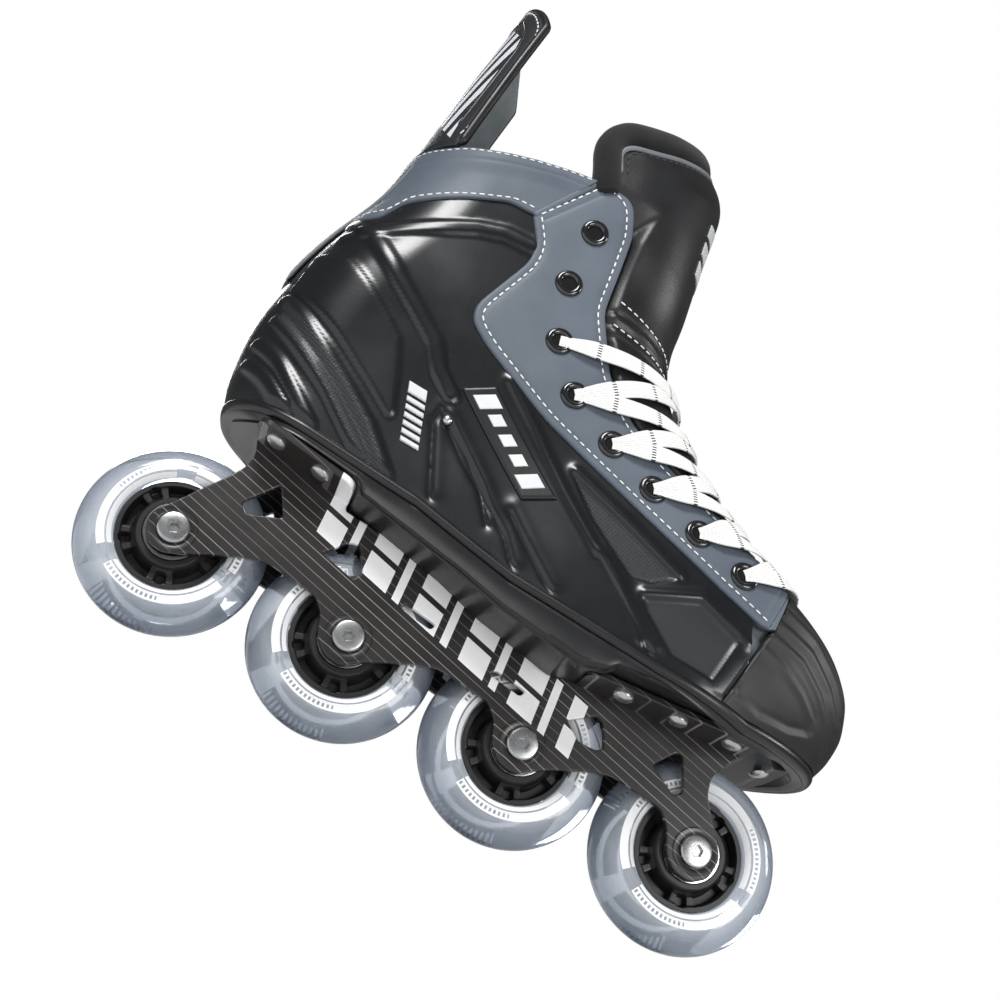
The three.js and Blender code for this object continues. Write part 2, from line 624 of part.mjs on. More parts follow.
// ---------------------------------------------------------------- boot pieces

function quarterGeometry() {
  const padHeight = 12;
  const shell = bootLayer(0, -SHELL_WALL)
    .intersect(above(movedLine(WELT_LINE, 0, GAP)))
    .intersect(below(movedLine(COLLAR_TOP_EDGE, 0, -padHeight).concat([[FAR, 235]])));
  return geometryOf(shell.subtract(facingRegion()).subtract(aheadOfToeSeam(-GAP / 2)));
}

function toeCapGeometry() {
  const shell = bootLayer(TOE_CAP_RAISE, -SHELL_WALL)
    .intersect(above(movedLine(WELT_LINE, 0, GAP)))
    .intersect(aheadOfToeSeam(GAP / 2));
  const open = shell.subtract(throatRegion(0));
  return geometryOf(open.subtract(eyestaySolid(-1, GAP)).subtract(eyestaySolid(1, GAP)));
}

/** Region of one eyestay through all skin depths, grown by `growth`. */
function eyestaySolid(side, growth) {
  const region = eyestayRegion(growth);
  return side < 0 ? acrossSkate(region, -FAR, -6) : acrossSkate(region, 6, FAR);
}

function eyestayGeometry(side) {
  const skin = bootLayer(GAP + LEATHER, GAP);
  const seamLine = movedLine(COLLAR_SEAM, GAP, 0);
  const behindSeam = acrossSkate(outline([...seamLine, [-200, 250], [-200, 218]]), -FAR, FAR);
  let piece = skin.intersect(eyestaySolid(side, 0)).subtract(behindSeam);
  piece = piece.intersect(below([...COLLAR_TOP_EDGE, [FAR, 247]]));
  for (const [x, z] of EYELET_ROW) piece = piece.subtract(eyeletHole(x, z, side));
  return geometryOf(piece);
}

function collarGeometry() {
  const padHeight = 12 - GAP;
  const region = (topLine) => {
    const edges = outline([...COLLAR_LOWER_EDGE, [-66, 219], [-49.5, 252], [-150, 252]]);
    return acrossSkate(edges, -FAR, FAR).intersect(below(topLine));
  };
  const skin = bootLayer(GAP + LEATHER, GAP).intersect(region(COLLAR_TOP_EDGE));
  const pad = bootLayer(GAP + LEATHER, -SHELL_WALL).intersect(region(COLLAR_TOP_EDGE))
    .intersect(above(movedLine(COLLAR_TOP_EDGE, 0, -padHeight)));
  return geometryOf(skin.add(pad));
}

function guardGeometry() {
  const edge = smoothLine(GUARD_FRONT_EDGE, 12);
  const foot = movedLine(COLLAR_TOP_EDGE.slice(0, 2), 0, 2 * GAP);
  const region = acrossSkate(outline([...foot, ...edge, [-150, 337]]), -FAR, FAR);
  return geometryOf(bootLayer(GAP + LEATHER, GAP + LEATHER - GUARD_WALL).intersect(region)
    .intersect(above(movedLine(COLLAR_TOP_EDGE, 0, GAP))));
}

function linerGeometry() {
  const wall = bootLayer(-SHELL_WALL - GAP, -linerInside)
    .intersect(above(movedLine(boardTop, 0, GAP)))
    .intersect(below(movedLine(COLLAR_TOP_EDGE, 0, -4).concat([[FAR, 243]])));
  return geometryOf(wall.subtract(throatRegion(TONGUE_WING + 2)));
}

/** The whole tongue before it is split at its flex seam. */
function tongueSolid() {
  const top = outline([[-90, 0], [FAR, 0], [FAR, 290], [3, 296], [-3, 311], [-11, 322], [-20, 327],
    [-36, 320], [-50, 306], [-57, 290], [-58, 270], [-50, 240]]);
  const outer = bootLayer(LEATHER, LEATHER - TONGUE_THICKNESS).intersect(throatRegion(-TONGUE_EDGE_GAP));
  const wings = bootLayer(-SHELL_WALL - GAP * 2, LEATHER - TONGUE_THICKNESS);
  const under = wings.intersect(throatRegion(TONGUE_WING));
  return outer.add(under).intersect(acrossSkate(top, -FAR, FAR));
}

function tongueLowerGeometry() {
  const seam = [[-FAR, lineAt(TONGUE_SEAM, -FAR)], [FAR, lineAt(TONGUE_SEAM, FAR)]];
  return geometryOf(tongueSolid().intersect(below(seam)));
}

function tongueUpperGeometry() {
  const seam = [[-FAR, lineAt(TONGUE_SEAM, -FAR) + SLIDE_GAP], [FAR, lineAt(TONGUE_SEAM, FAR) + SLIDE_GAP]];
  return geometryOf(tongueSolid().intersect(above(seam)).intersect(boxSolid([-FAR, -33, 0], [FAR, 33, FAR])));
}

/** Height of the straight line through a two-point line, at any x. */
function lineAt([[x0, z0], [x1, z1]], x) {
  return z0 + ((x - x0) / (x1 - x0)) * (z1 - z0);
}

// ---------------------------------------------------------------- eyelets and lace

/** The skin point whose side view is nearest [x, z] at the same height. */
function skinAt(x, z, side, offset) {
  let low = 0;
  let high = 1;
  for (let i = 0; i < 40; i += 1) {
    const middle = (low + high) / 2;
    if (skinPoint(middle, z, side).x < x) low = middle;
    else high = middle;
  }
  return offsetSkinPoint((low + high) / 2, z, side, offset);
}

/** Turns a lathe about Y into the skin's normal at one eyelet, and places it there. */
function placeOnSkin(geometry, x, z, side) {
  const base = skinAt(x, z, side, 0);
  const normal = skinAt(x, z, side, 1).sub(base).normalize();
  const turn = new THREE.Quaternion().setFromUnitVectors(new THREE.Vector3(0, 1, 0), normal);
  geometry.applyQuaternion(turn);
  geometry.translate(base.x, base.y, base.z);
  return geometry;
}

function eyeletHole(x, z, side) {
  const radius = acrossFlats(EYELET_HOLE / 2 + 0.6 + GAP, EYELET_SEGMENTS);
  const hole = new THREE.CylinderGeometry(radius, radius, 16, EYELET_SEGMENTS);
  return solidOf(placeOnSkin(hole, x, z, side));
}

/** One side's eyelets, joined by the stiffening strip behind the facing. */
function eyeletRowGeometry(side) {
  const row = smoothLine(EYELET_ROW, 9);
  const rearEdge = offsetLine(row, STRIP_HALF_WIDTH);
  const region = outline([...rearEdge, ...offsetLine(row, -STRIP_HALF_WIDTH).reverse()]);
  const half = side < 0 ? acrossSkate(region, -FAR, -6) : acrossSkate(region, 6, FAR);
  let strip = bootLayer(0, -1.6).intersect(half);
  const hole = EYELET_HOLE / 2;
  const barrel = hole + 0.6;
  const flange = EYELET_DIAMETER / 2;
  const seat = LEATHER + GAP + EYELET_SEAT_GAP;
  for (const [x, z] of EYELET_ROW) {
    const bore = new THREE.CylinderGeometry(hole, hole, 12, EYELET_SEGMENTS);
    strip = strip.subtract(solidOf(placeOnSkin(bore, x, z, side)));
    const profile = [[hole, -1.2], [barrel, -1.2], [barrel, seat], [flange, seat],
      [flange - 0.8, seat + EYELET_FLANGE], [hole, seat + EYELET_FLANGE * 0.7]];
    const points = [...profile, profile[0]].map(([r, y]) => new THREE.Vector2(r, y));
    strip = strip.add(solidOf(placeOnSkin(new THREE.LatheGeometry(points, EYELET_SEGMENTS), x, z, side)));
  }
  return geometryOf(strip);
}

/** The place on the front of the boot that a lace crossing starting at [x, z] runs over. */
function crossingTop([x, z]) {
  let reach = 0;
  while (x + reach < softLookUp(INSTEP_LINE, z + reach / CROSSING_SLOPE, 4) && reach < FAR) reach += 0.5;
  return [x + reach, z + reach / CROSSING_SLOPE];
}

/** A deep cutter with the lace's width, from an eyelet on one side over the tongue to the other side. */
function crossingCutter(start, end, startSide) {
  const steps = 8;
  const top = crossingTop([(start[0] + end[0]) / 2, (start[1] + end[1]) / 2]);
  const rows = [];
  for (let i = 0; i <= steps; i += 1) {
    const near = i * 2 <= steps;
    const from = near ? start : end;
    const reach = Math.sin((i / steps) * Math.PI);
    const x = from[0] + (top[0] - from[0]) * reach;
    const z = from[1] + (top[1] - from[1]) * reach;
    const side = near ? startSide : -startSide;
    rows.push({ low: skinAt(x, z, side, -CUTTER_DEPTH), high: skinAt(x, z, side, CUTTER_DEPTH) });
  }
  const positions = [];
  rows.forEach((row, i) => {
    const along = rows[Math.min(i + 1, steps)].high.clone().sub(rows[Math.max(i - 1, 0)].high);
    const out = row.high.clone().sub(row.low);
    const across = along.cross(out).setLength(LACE_WIDTH / 2);
    for (const [base, way] of [[row.low, -1], [row.low, 1], [row.high, 1], [row.high, -1]]) {
      positions.push(...base.clone().addScaledVector(across, way).toArray());
    }
  });
  const last = steps * 4;
  const index = [0, 1, 2, 0, 2, 3, last, last + 2, last + 1, last, last + 3, last + 2];
  for (let i = 0; i < last; i += 4) {
    for (let k = 0; k < 4; k += 1) {
      const next = (k + 1) % 4;
      index.push(i + k, i + 4 + k, i + 4 + next, i + k, i + 4 + next, i + next);
    }
  }
  const geometry = new THREE.BufferGeometry();
  geometry.setAttribute('position', new THREE.Float32BufferAttribute(positions, 3));
  geometry.setIndex(index);
  return solidOf(geometry);
}

/** The flat lace, crossed from side to side through the lower eyelets. */
function laceGeometry() {
  const used = EYELET_ROW.slice(EYELETS_PER_SIDE - LACED_EYELETS);
  const last = used[used.length - 1];
  const crossings = [crossingCutter(last, last, -1)];
  for (let i = 1; i < used.length; i += 1) {
    crossings.push(crossingCutter(used[i], used[i - 1], -1), crossingCutter(used[i - 1], used[i], -1));
  }
  const lift = LEATHER + GAP + EYELET_SEAT_GAP + EYELET_FLANGE + LACE_GAP;
  const cutter = crossings.reduce((sum, crossing) => sum.add(crossing));
  return geometryOf(bootLayer(lift + LACE_THICKNESS, lift).intersect(cutter));
}

// ---------------------------------------------------------------- materials and scene

const finish = (color, roughness, metalness = 0) => ({ color, roughness, metalness });
const FINISHES = {
  tyre: finish(0xb9c2cc, 0.3),
  blackNylon: finish(0x17181a, 0.45),
  steel: finish(0xa8abb0, 0.3, 1),
  frame: finish(0x201e1f, 0.4, 0.4),
  rubber: finish(0x151618, 0.7),
  board: finish(0x6b6258, 0.9),
  foam: finish(0x3a3d42, 0.95),
  shell: finish(0x1a1c20, 0.45),
  toeCap: finish(0x1b1b1c, 0.7),
  slateLeather: finish(0x66717d, 0.6),
  tongue: finish(0x202226, 0.5),
  guard: finish(0x2b2e33, 0.55),
  eyelet: finish(0x101012, 0.2),
  lace: finish(0xf4f4f2, 0.9),
};

const group = new THREE.Group();

/** Adds one named piece to a parent group. */
function addPiece(parent, name, geometry, look, position = [0, 0, 0]) {
  const mesh = new THREE.Mesh(geometry, new THREE.MeshStandardMaterial(FINISHES[look]));
  mesh.name = name;
  mesh.position.set(...position);
  parent.add(mesh);
}

function addWheel(number, x) {
  const wheel = new THREE.Group();
  wheel.position.set(x, 0, AXLE_HEIGHT);
  const bearingY = HUB_BARREL_LENGTH / 2 - BEARING_WIDTH / 2;
  addPiece(wheel, `tyre_${number}`, tyreGeometry(), 'tyre');
  addPiece(wheel, `hub_${number}`, hubGeometry(), 'blackNylon');
  for (const [place, side] of [['lateral', -1], ['medial', 1]]) {
    const seat = [0, side * bearingY, 0];
    addPiece(wheel, `bearing_outer_race_${number}_${place}`, outerRaceGeometry(side), 'steel', seat);
    addPiece(wheel, `bearing_inner_race_${number}_${place}`, innerRaceGeometry(), 'steel', seat);
  }
  addPiece(wheel, `bearing_spacer_${number}`, spacerGeometry(), 'steel');
  addPiece(wheel, `axle_bolt_${number}`, axleGeometry(), 'steel');
  group.add(wheel);
}

AXLE_X.forEach((x, i) => addWheel(i + 1, x));

addPiece(group, 'frame', frameGeometry(), 'frame');
for (const rivet of RIVETS) {
  const seat = [rivet.x, rivet.y, underPlatform(rivet.line, rivet.x)];
  addPiece(group, rivet.name, rivetGeometry(rivet), 'steel', seat);
}

addPiece(group, 'outsole', outsoleGeometry(), 'rubber');
addPiece(group, 'lasting_board', lastingBoardGeometry(), 'board');
addPiece(group, 'footbed', footbedGeometry(), 'foam');
addPiece(group, 'liner', linerGeometry(), 'foam');
addPiece(group, 'quarter_shell', quarterGeometry(), 'shell');
addPiece(group, 'toe_cap', toeCapGeometry(), 'toeCap');
addPiece(group, 'collar', collarGeometry(), 'slateLeather');
addPiece(group, 'tendon_guard', guardGeometry(), 'guard');
addPiece(group, 'eyestay_lateral', eyestayGeometry(-1), 'slateLeather');
addPiece(group, 'eyestay_medial', eyestayGeometry(1), 'slateLeather');
addPiece(group, 'tongue_lower', tongueLowerGeometry(), 'tongue');
addPiece(group, 'tongue_upper', tongueUpperGeometry(), 'tongue');
addPiece(group, 'eyelets_lateral', eyeletRowGeometry(-1), 'eyelet');
addPiece(group, 'eyelets_medial', eyeletRowGeometry(1), 'eyelet');
addPiece(group, 'lace', laceGeometry(), 'lace');

export default group;
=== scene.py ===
"""Looks of a laced inline skate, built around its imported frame.

Sizes inside the classes are millimetres in the skate's own frame: +X to the toe, -Y to the
outer side, +Z up, the ground at zero. They become metres when a mesh is made.
"""

import sys

import logging
import math
from dataclasses import dataclass
from enum import Enum

import bmesh
import bpy
import numpy as np
from mathutils import Matrix, Vector


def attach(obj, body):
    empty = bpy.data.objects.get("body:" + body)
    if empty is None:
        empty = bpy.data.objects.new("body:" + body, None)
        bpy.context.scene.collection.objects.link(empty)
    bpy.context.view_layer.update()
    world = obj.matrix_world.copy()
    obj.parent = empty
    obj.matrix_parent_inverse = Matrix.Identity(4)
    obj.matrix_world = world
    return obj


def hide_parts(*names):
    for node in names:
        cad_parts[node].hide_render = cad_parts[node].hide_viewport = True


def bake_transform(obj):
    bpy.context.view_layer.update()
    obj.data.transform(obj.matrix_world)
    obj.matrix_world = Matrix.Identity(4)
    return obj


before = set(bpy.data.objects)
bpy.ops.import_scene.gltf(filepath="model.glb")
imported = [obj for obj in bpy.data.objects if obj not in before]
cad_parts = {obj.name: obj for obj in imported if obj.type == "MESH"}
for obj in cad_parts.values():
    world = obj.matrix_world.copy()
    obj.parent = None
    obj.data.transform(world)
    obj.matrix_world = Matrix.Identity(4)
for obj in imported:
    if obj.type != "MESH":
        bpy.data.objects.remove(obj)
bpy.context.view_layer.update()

LOG = logging.getLogger("skate")
MM = 0.001
FINE_STEPS = 600
SHELL_WALL = 2.6
Line = tuple[tuple[float, float], ...]


# --------------------------------------------------------------------------- boot form

HEEL_LINE: Line = ((70, -116), (84, -121), (98, -129), (119, -134.5), (134, -135.5), (160, -133.5),
                   (178, -130), (200, -123.5), (219, -121.5), (284, -121), (340, -119.5))
INSTEP_LINE: Line = ((70, 120), (76, 134), (84, 141), (96, 146), (107, 147.5), (120, 144), (130, 135),
                     (136, 122), (140, 104), (150, 82), (160, 62), (175, 40), (190, 26), (206, 17),
                     (220, 13), (263, 5), (300, 0), (340, -2))
LATERAL_HALF_WIDTH: Line = ((-135, 30), (-100, 33), (-60, 34), (-20, 37), (20, 42.5), (60, 47), (80, 48),
                            (100, 46), (125, 42), (150, 38))
MEDIAL_HALF_WIDTH: Line = ((-135, 30), (-100, 33), (-60, 32), (-20, 32), (20, 38), (60, 45), (90, 48),
                           (110, 46.5), (130, 42), (150, 38))
SHAFT_HALF_WIDTH: Line = ((84, 33), (120, 36), (160, 38), (200, 37), (230, 39), (250, 42), (335, 40))
HEEL_CAP_DEPTH: Line = ((80, 34), (120, 36), (200, 38), (335, 40))
FRONT_CAP_DEPTH: Line = ((80, 62), (125, 62), (140, 60), (170, 46), (335, 40))
WELT_LINE: Line = ((-170, 92), (-107, 92), (-40, 89), (0, 81.5), (60, 78.5), (100, 79.5), (131, 86),
                   (170, 96))
TOE_SEAM: Line = ((60, 87), (80, 89), (106, 93), (126, 96), (135, 97), (150, 97))


class Side(Enum):
    """The two sides of the boot."""

    LATERAL = -1
    MEDIAL = 1


class SoftTable:
    """A look-up table whose corners are rounded by a Gaussian, so a surface made from it has no creases."""

    def __init__(self, rows: Line, sigma: float) -> None:
        """Builds the dense rounded table.

        Args:
            rows: (key, value) pairs in rising key order.
            sigma: width of the rounding, in the key's units.
        """
        keys, values = np.array(rows, float).T
        step = 0.5
        reach = 3 * sigma
        self.keys = np.arange(keys[0] - 2 * reach, keys[-1] + 2 * reach, step)
        raw = np.interp(self.keys, keys, values)
        span = np.arange(-reach, reach + step, step)
        padded = np.pad(raw, len(span) // 2, mode="edge")
        self.values = np.convolve(padded, bell(span, sigma), mode="valid")[: len(self.keys)]

    def __call__(self, key: np.ndarray) -> np.ndarray:
        """Value at each key."""
        return np.interp(key, self.keys, self.values)


def smoothstep(low: float, high: float, value: np.ndarray) -> np.ndarray:
    """Smooth ramp from 0 at low to 1 at high."""
    u = np.clip((value - low) / (high - low), 0.0, 1.0)
    return u * u * (3 - 2 * u)


def unit(vectors: np.ndarray) -> np.ndarray:
    """Vectors scaled to length one along their last axis."""
    return vectors / np.maximum(np.linalg.norm(vectors, axis=-1, keepdims=True), 1e-9)


def bell(offsets: np.ndarray, sigma: float) -> np.ndarray:
    """Gaussian weights that add up to one."""
    weights = np.exp(-0.5 * (offsets / sigma) ** 2)
    return weights / weights.sum()


def travelled(points: np.ndarray) -> np.ndarray:
    """Distance along a polyline at each of its points."""
    return np.r_[0, np.cumsum(np.linalg.norm(np.diff(points, axis=0), axis=1))]


def follow(where: np.ndarray, keys: np.ndarray, points: np.ndarray) -> np.ndarray:
    """Each column of points, interpolated from keys to where."""
    return np.stack([np.interp(where, keys, column) for column in points.T], axis=-1)


def convolved(points: np.ndarray, kernel: np.ndarray) -> np.ndarray:
    """Each column of points, averaged under a kernel."""
    return np.stack([np.convolve(column, kernel, mode="valid") for column in points.T], axis=1)


class BootForm:
    """The boot's outer skin.

    At a height z the section runs from the heel centre round an elliptic heel cap, along a straight
    flank and round an elliptic front cap. A place on it is a girth q, measured along the section from
    the heel centre, with a negative sign on the lateral side.
    """

    def __init__(self) -> None:
        """Rounds every table once."""
        self.heel = SoftTable(HEEL_LINE, 5)
        self.instep = SoftTable(INSTEP_LINE, 2.6)
        self.lateral = SoftTable(LATERAL_HALF_WIDTH, 12)
        self.medial = SoftTable(MEDIAL_HALF_WIDTH, 12)
        self.shaft = SoftTable(SHAFT_HALF_WIDTH, 10)
        self.heel_cap = SoftTable(HEEL_CAP_DEPTH, 8)
        self.front_cap = SoftTable(FRONT_CAP_DEPTH, 6)

    def limits(self, z: np.ndarray) -> tuple[np.ndarray, ...]:
        """Heel x, front x, heel cap depth and front cap depth at each height."""
        return self.heel(z), self.instep(z), self.heel_cap(z), self.front_cap(z)

    def half_width(self, x: np.ndarray, z: np.ndarray, side: np.ndarray) -> np.ndarray:
        """Half width of the full section: the foot's width below blends into the shaft's above."""
        foot = np.where(side < 0, self.lateral(x), self.medial(x))
        k = smoothstep(95, 180, z)
        return foot * (1 - k) + self.shaft(z) * k

    def length(self, z: np.ndarray) -> np.ndarray:
        """Girth from the heel centre to the front centre."""
        heel, front, heel_cap, front_cap = self.limits(z)
        return heel_cap * math.pi / 2 + (front - front_cap - heel - heel_cap) + front_cap * math.pi / 2

    def girth(self, x: np.ndarray, z: np.ndarray) -> np.ndarray:
        """Unsigned girth of the side-view place (x, z)."""
        heel, front, heel_cap, front_cap = self.limits(z)
        start = heel_cap * math.pi / 2
        flank = front - front_cap - heel - heel_cap
        rear = heel_cap * np.arccos(np.clip(1 - (x - heel) / heel_cap, -1, 1))
        middle = start + x - heel - heel_cap
        share = np.clip((x - front + front_cap) / front_cap, 0, 1)
        ahead = start + flank + front_cap * np.arcsin(share)
        return np.where(x < heel + heel_cap, rear, np.where(share > 0, ahead, middle))

    def point(self, q: np.ndarray, z: np.ndarray) -> np.ndarray:
        """Skin points.

        Args:
            q: signed girths.
            z: heights.

        Returns:
            Points, on a last axis of three.
        """
        side = np.where(q < 0, -1.0, 1.0)
        q = np.abs(q)
        heel, front, heel_cap, front_cap = self.limits(z)
        start = heel_cap * math.pi / 2
        flank = front - front_cap - heel - heel_cap
        rear_angle = np.minimum(q, start) / heel_cap
        front_angle = np.maximum(q - start - flank, 0) / front_cap
        along = np.clip(q - start, 0, flank)
        x = heel + heel_cap * (1 - np.cos(rear_angle)) + along + front_cap * np.sin(front_angle)
        round_off = np.sin(rear_angle) * np.cos(front_angle)
        y = side * self.half_width(x, z, side) * round_off
        return np.stack(np.broadcast_arrays(x, y, z), axis=-1)

    def normal(self, q: np.ndarray, z: np.ndarray) -> np.ndarray:
        """Outward unit normals, from the skin's slopes along the girth and the height."""
        step = 0.6
        along = self.point(q + step, z) - self.point(q - step, z)
        up = self.point(q, z + step) - self.point(q, z - step)
        return unit(-np.cross(along, up))

    def raised(self, q: np.ndarray, z: np.ndarray, offset: np.ndarray | float) -> np.ndarray:
        """Skin points moved out along the normal by offset."""
        return self.point(q, z) + self.normal(q, z) * np.asarray(offset, float)[..., None]

    def run(self, q: np.ndarray, z: np.ndarray, offset: np.ndarray | float) -> np.ndarray:
        """A line on the skin, moved out by offset, as points followed by normals."""
        normal = self.normal(q, z)
        return np.hstack([self.point(q, z) + normal * np.reshape(offset, (-1, 1)), normal])

    def on_side(self, x: np.ndarray, z: np.ndarray, side: Side, offset: np.ndarray | float) -> np.ndarray:
        """Skin points at side-view places on one side, moved out by offset."""
        return self.raised(side.value * self.girth(x, z), z, offset)


FORM = BootForm()


# --------------------------------------------------------------------------- side-view drawing


def resample(line: Line | np.ndarray, count: int, rounding: float = 0.0) -> np.ndarray:
    """A polyline at even steps of its length, with corners rounded by a Gaussian of its length.

    Args:
        line: corner points.
        count: number of points returned.
        rounding: width of the rounding; the two ends stay where they are.

    Returns:
        Points with shape (count, 2) or (count, 3).
    """
    points = np.array(line, float)
    steps = travelled(points)
    dense = follow(np.linspace(0, steps[-1], FINE_STEPS), steps, points)
    if rounding > 0:
        half = FINE_STEPS // 2
        span = np.arange(-half, half + 1) * (steps[-1] / (FINE_STEPS - 1))
        head, tail = dense[:1], dense[-1:]
        padded = np.vstack([2 * head - dense[half:0:-1], dense, 2 * tail - dense[-2:-half - 2:-1]])
        dense = convolved(padded, bell(span, rounding))
    steps = travelled(dense)
    return follow(np.linspace(0, steps[-1], count), steps, dense)


def distance_to(line: Line | np.ndarray, x: np.ndarray, z: np.ndarray) -> np.ndarray:
    """Distance from each place (x, z) to the nearest part of a polyline."""
    points = np.array(line, float)
    nearest = np.full(np.shape(x), 1e9)
    for (ax, az), (bx, bz) in zip(points[:-1], points[1:]):
        dx, dz = bx - ax, bz - az
        share = np.clip(((x - ax) * dx + (z - az) * dz) / max(dx * dx + dz * dz, 1e-9), 0, 1)
        nearest = np.minimum(nearest, np.hypot(x - ax - share * dx, z - az - share * dz))
    return nearest


def depth_inside(outline: Line, x: np.ndarray, z: np.ndarray) -> np.ndarray:
    """Signed distance to a closed outline: positive inside it, negative outside."""
    closed = tuple(outline) + (outline[0],)
    crossings = np.zeros(np.shape(x), int)
    for (ax, az), (bx, bz) in zip(closed[:-1], closed[1:]):
        spans = (az > z) != (bz > z)
        at = ax + (z - az) * (bx - ax) / ((bz - az) if bz != az else 1e-9)
        crossings += (spans & (x < at)).astype(int)
    return np.where(crossings % 2 == 1, 1.0, -1.0) * distance_to(closed, x, z)


# --------------------------------------------------------------------------- meshes


def grid_quads(rows: int, columns: int, start: int = 0, closed: bool = False) -> np.ndarray:
    """Quads of a rows x columns grid of vertices; closed joins the last column to the first."""
    i = np.arange(rows - 1)[:, None]
    j = np.arange(columns if closed else columns - 1)[None, :]
    after = (j + 1) % columns
    corners = (i * columns + j, i * columns + after, (i + 1) * columns + after, (i + 1) * columns + j)
    return np.stack(np.broadcast_arrays(*corners), axis=-1).reshape(-1, 4) + start


def signed_volume(points: np.ndarray, quads: np.ndarray) -> float:
    """Volume that the quads enclose, negative when they face inwards."""
    a, b, c, d = (points[quads[:, k]] for k in range(4))
    return float((np.cross(a, b) * c).sum() + (np.cross(a, c) * d).sum())


def linked(name: str, data: bpy.types.ID) -> bpy.types.Object:
    """An object of the data, in the scene."""
    thing = bpy.data.objects.new(name, data)
    bpy.context.scene.collection.objects.link(thing)
    return thing


def new_object(name: str, points: np.ndarray, faces: np.ndarray | list, uv: np.ndarray | None = None,
               crease_angle: float = 40.0) -> bpy.types.Object:
    """Makes a smooth-shaded mesh object at the origin from points in millimetres.

    Args:
        name: the piece's name.
        points: vertices, shape (n, 3).
        faces: vertex numbers of each face.
        uv: one (u, v) per vertex.
        crease_angle: edges sharper than this many degrees stay sharp.

    Returns:
        The linked object.
    """
    mesh = bpy.data.meshes.new(name)
    faces = faces.tolist() if isinstance(faces, np.ndarray) else faces
    mesh.from_pydata((np.asarray(points, float) * MM).tolist(), [], faces)
    if uv is not None:
        corner = np.zeros(len(mesh.loops), np.int32)
        mesh.loops.foreach_get("vertex_index", corner)
        layer = mesh.uv_layers.new(name="UVMap")
        layer.data.foreach_set("uv", np.asarray(uv, np.float32)[corner].ravel())
    mesh.polygons.foreach_set("use_smooth", np.ones(len(mesh.polygons), bool))
    mesh.set_sharp_from_angle(angle=math.radians(crease_angle))
    mesh.update()
    return linked(name, mesh)


def shell_object(name: str, outer: np.ndarray, inner: np.ndarray, uv: np.ndarray | None = None,
                 closed: bool = False, crease_angle: float = 40.0) -> bpy.types.Object:
    """A closed wall between two grids of points.

    Args:
        name: the piece's name.
        outer: outer grid, shape (rows, columns, 3).
        inner: inner grid of the same shape.
        uv: grid of (u, v), shape (rows, columns, 2), used for both skins.
        closed: whether the last column joins the first.
        crease_angle: as in new_object.

    Returns:
        The linked object.
    """
    rows, columns = outer.shape[:2]
    size = rows * columns
    points = np.vstack([outer.reshape(-1, 3), inner.reshape(-1, 3)])
    index = np.arange(size).reshape(rows, columns)
    rims = [index[0], index[-1, ::-1]]
    if closed:
        rims = [np.r_[rim, rim[:1]] for rim in rims]
    else:
        rims += [index[::-1, 0], index[:, -1]]
    strips = [np.stack([rim[1:], rim[:-1], rim[:-1] + size, rim[1:] + size], axis=-1) for rim in rims]
    quads = np.vstack([grid_quads(rows, columns, 0, closed), grid_quads(rows, columns, size, closed)[:, ::-1]]
                      + strips)
    if signed_volume(points, quads) < 0:
        quads = quads[:, ::-1]
    flat_uv = None if uv is None else np.vstack([uv.reshape(-1, 2)] * 2)
    return new_object(name, points, quads, flat_uv, crease_angle)


def sweep(path: np.ndarray, across: np.ndarray, out: np.ndarray, section: np.ndarray,
          width: np.ndarray | float = 1.0) -> np.ndarray:
    """Carries a section along a path.

    Args:
        path: points, shape (n, 3).
        across: unit vectors across the path, shape (n, 3).
        out: unit vectors away from the surface, shape (n, 3).
        section: (across, out) coordinates, shape (m, 2).
        width: scale of the section at each path point.

    Returns:
        Points with shape (n, m, 3).
    """
    scale = np.broadcast_to(np.asarray(width, float), (len(path),))[:, None, None]
    return (path[:, None] + across[:, None] * section[None, :, :1] * scale
            + out[:, None] * section[None, :, 1:] * scale)


def capped_tube(name: str, rings: np.ndarray, uv: np.ndarray | None = None,
                crease_angle: float = 60.0) -> bpy.types.Object:
    """A closed solid from rings of points, with both ends closed by a centre point.

    Args:
        name: the piece's name.
        rings: points, shape (n, m, 3).
        uv: one (u, v) per point, shape (n, m, 2).
        crease_angle: as in new_object.

    Returns:
        The linked object.
    """
    count, around = rings.shape[:2]
    points = np.vstack([rings.reshape(-1, 3), rings[0].mean(0), rings[-1].mean(0)])
    first, last = count * around, count * around + 1
    quads = grid_quads(count, around, 0, True)
    step = np.arange(around)
    after = (step + 1) % around
    base = (count - 1) * around
    tail = [[last, base + a, base + b] for a, b in zip(step, after)]
    head = [[first, b, a] for a, b in zip(step, after)]
    if signed_volume(points, quads) < 0:
        quads = quads[:, ::-1]
        head = [face[::-1] for face in head]
        tail = [face[::-1] for face in tail]
    flat_uv = None
    if uv is not None:
        flat_uv = np.vstack([uv.reshape(-1, 2), uv[0].mean(0), uv[-1].mean(0)])
    return new_object(name, points, quads.tolist() + head + tail, flat_uv, crease_angle)


def lathe_points(profile: np.ndarray, segments: int) -> np.ndarray:
    """Turns (radius, along) profile points about +Y: rows follow the turn, columns the profile."""
    angle = np.linspace(0, 2 * math.pi, segments, endpoint=False)[:, None]
    radius, along = profile[None, :, 0], profile[None, :, 1]
    grid = np.broadcast_arrays(radius * np.cos(angle), along + 0 * angle, radius * np.sin(angle))
    return np.stack(grid, axis=-1)


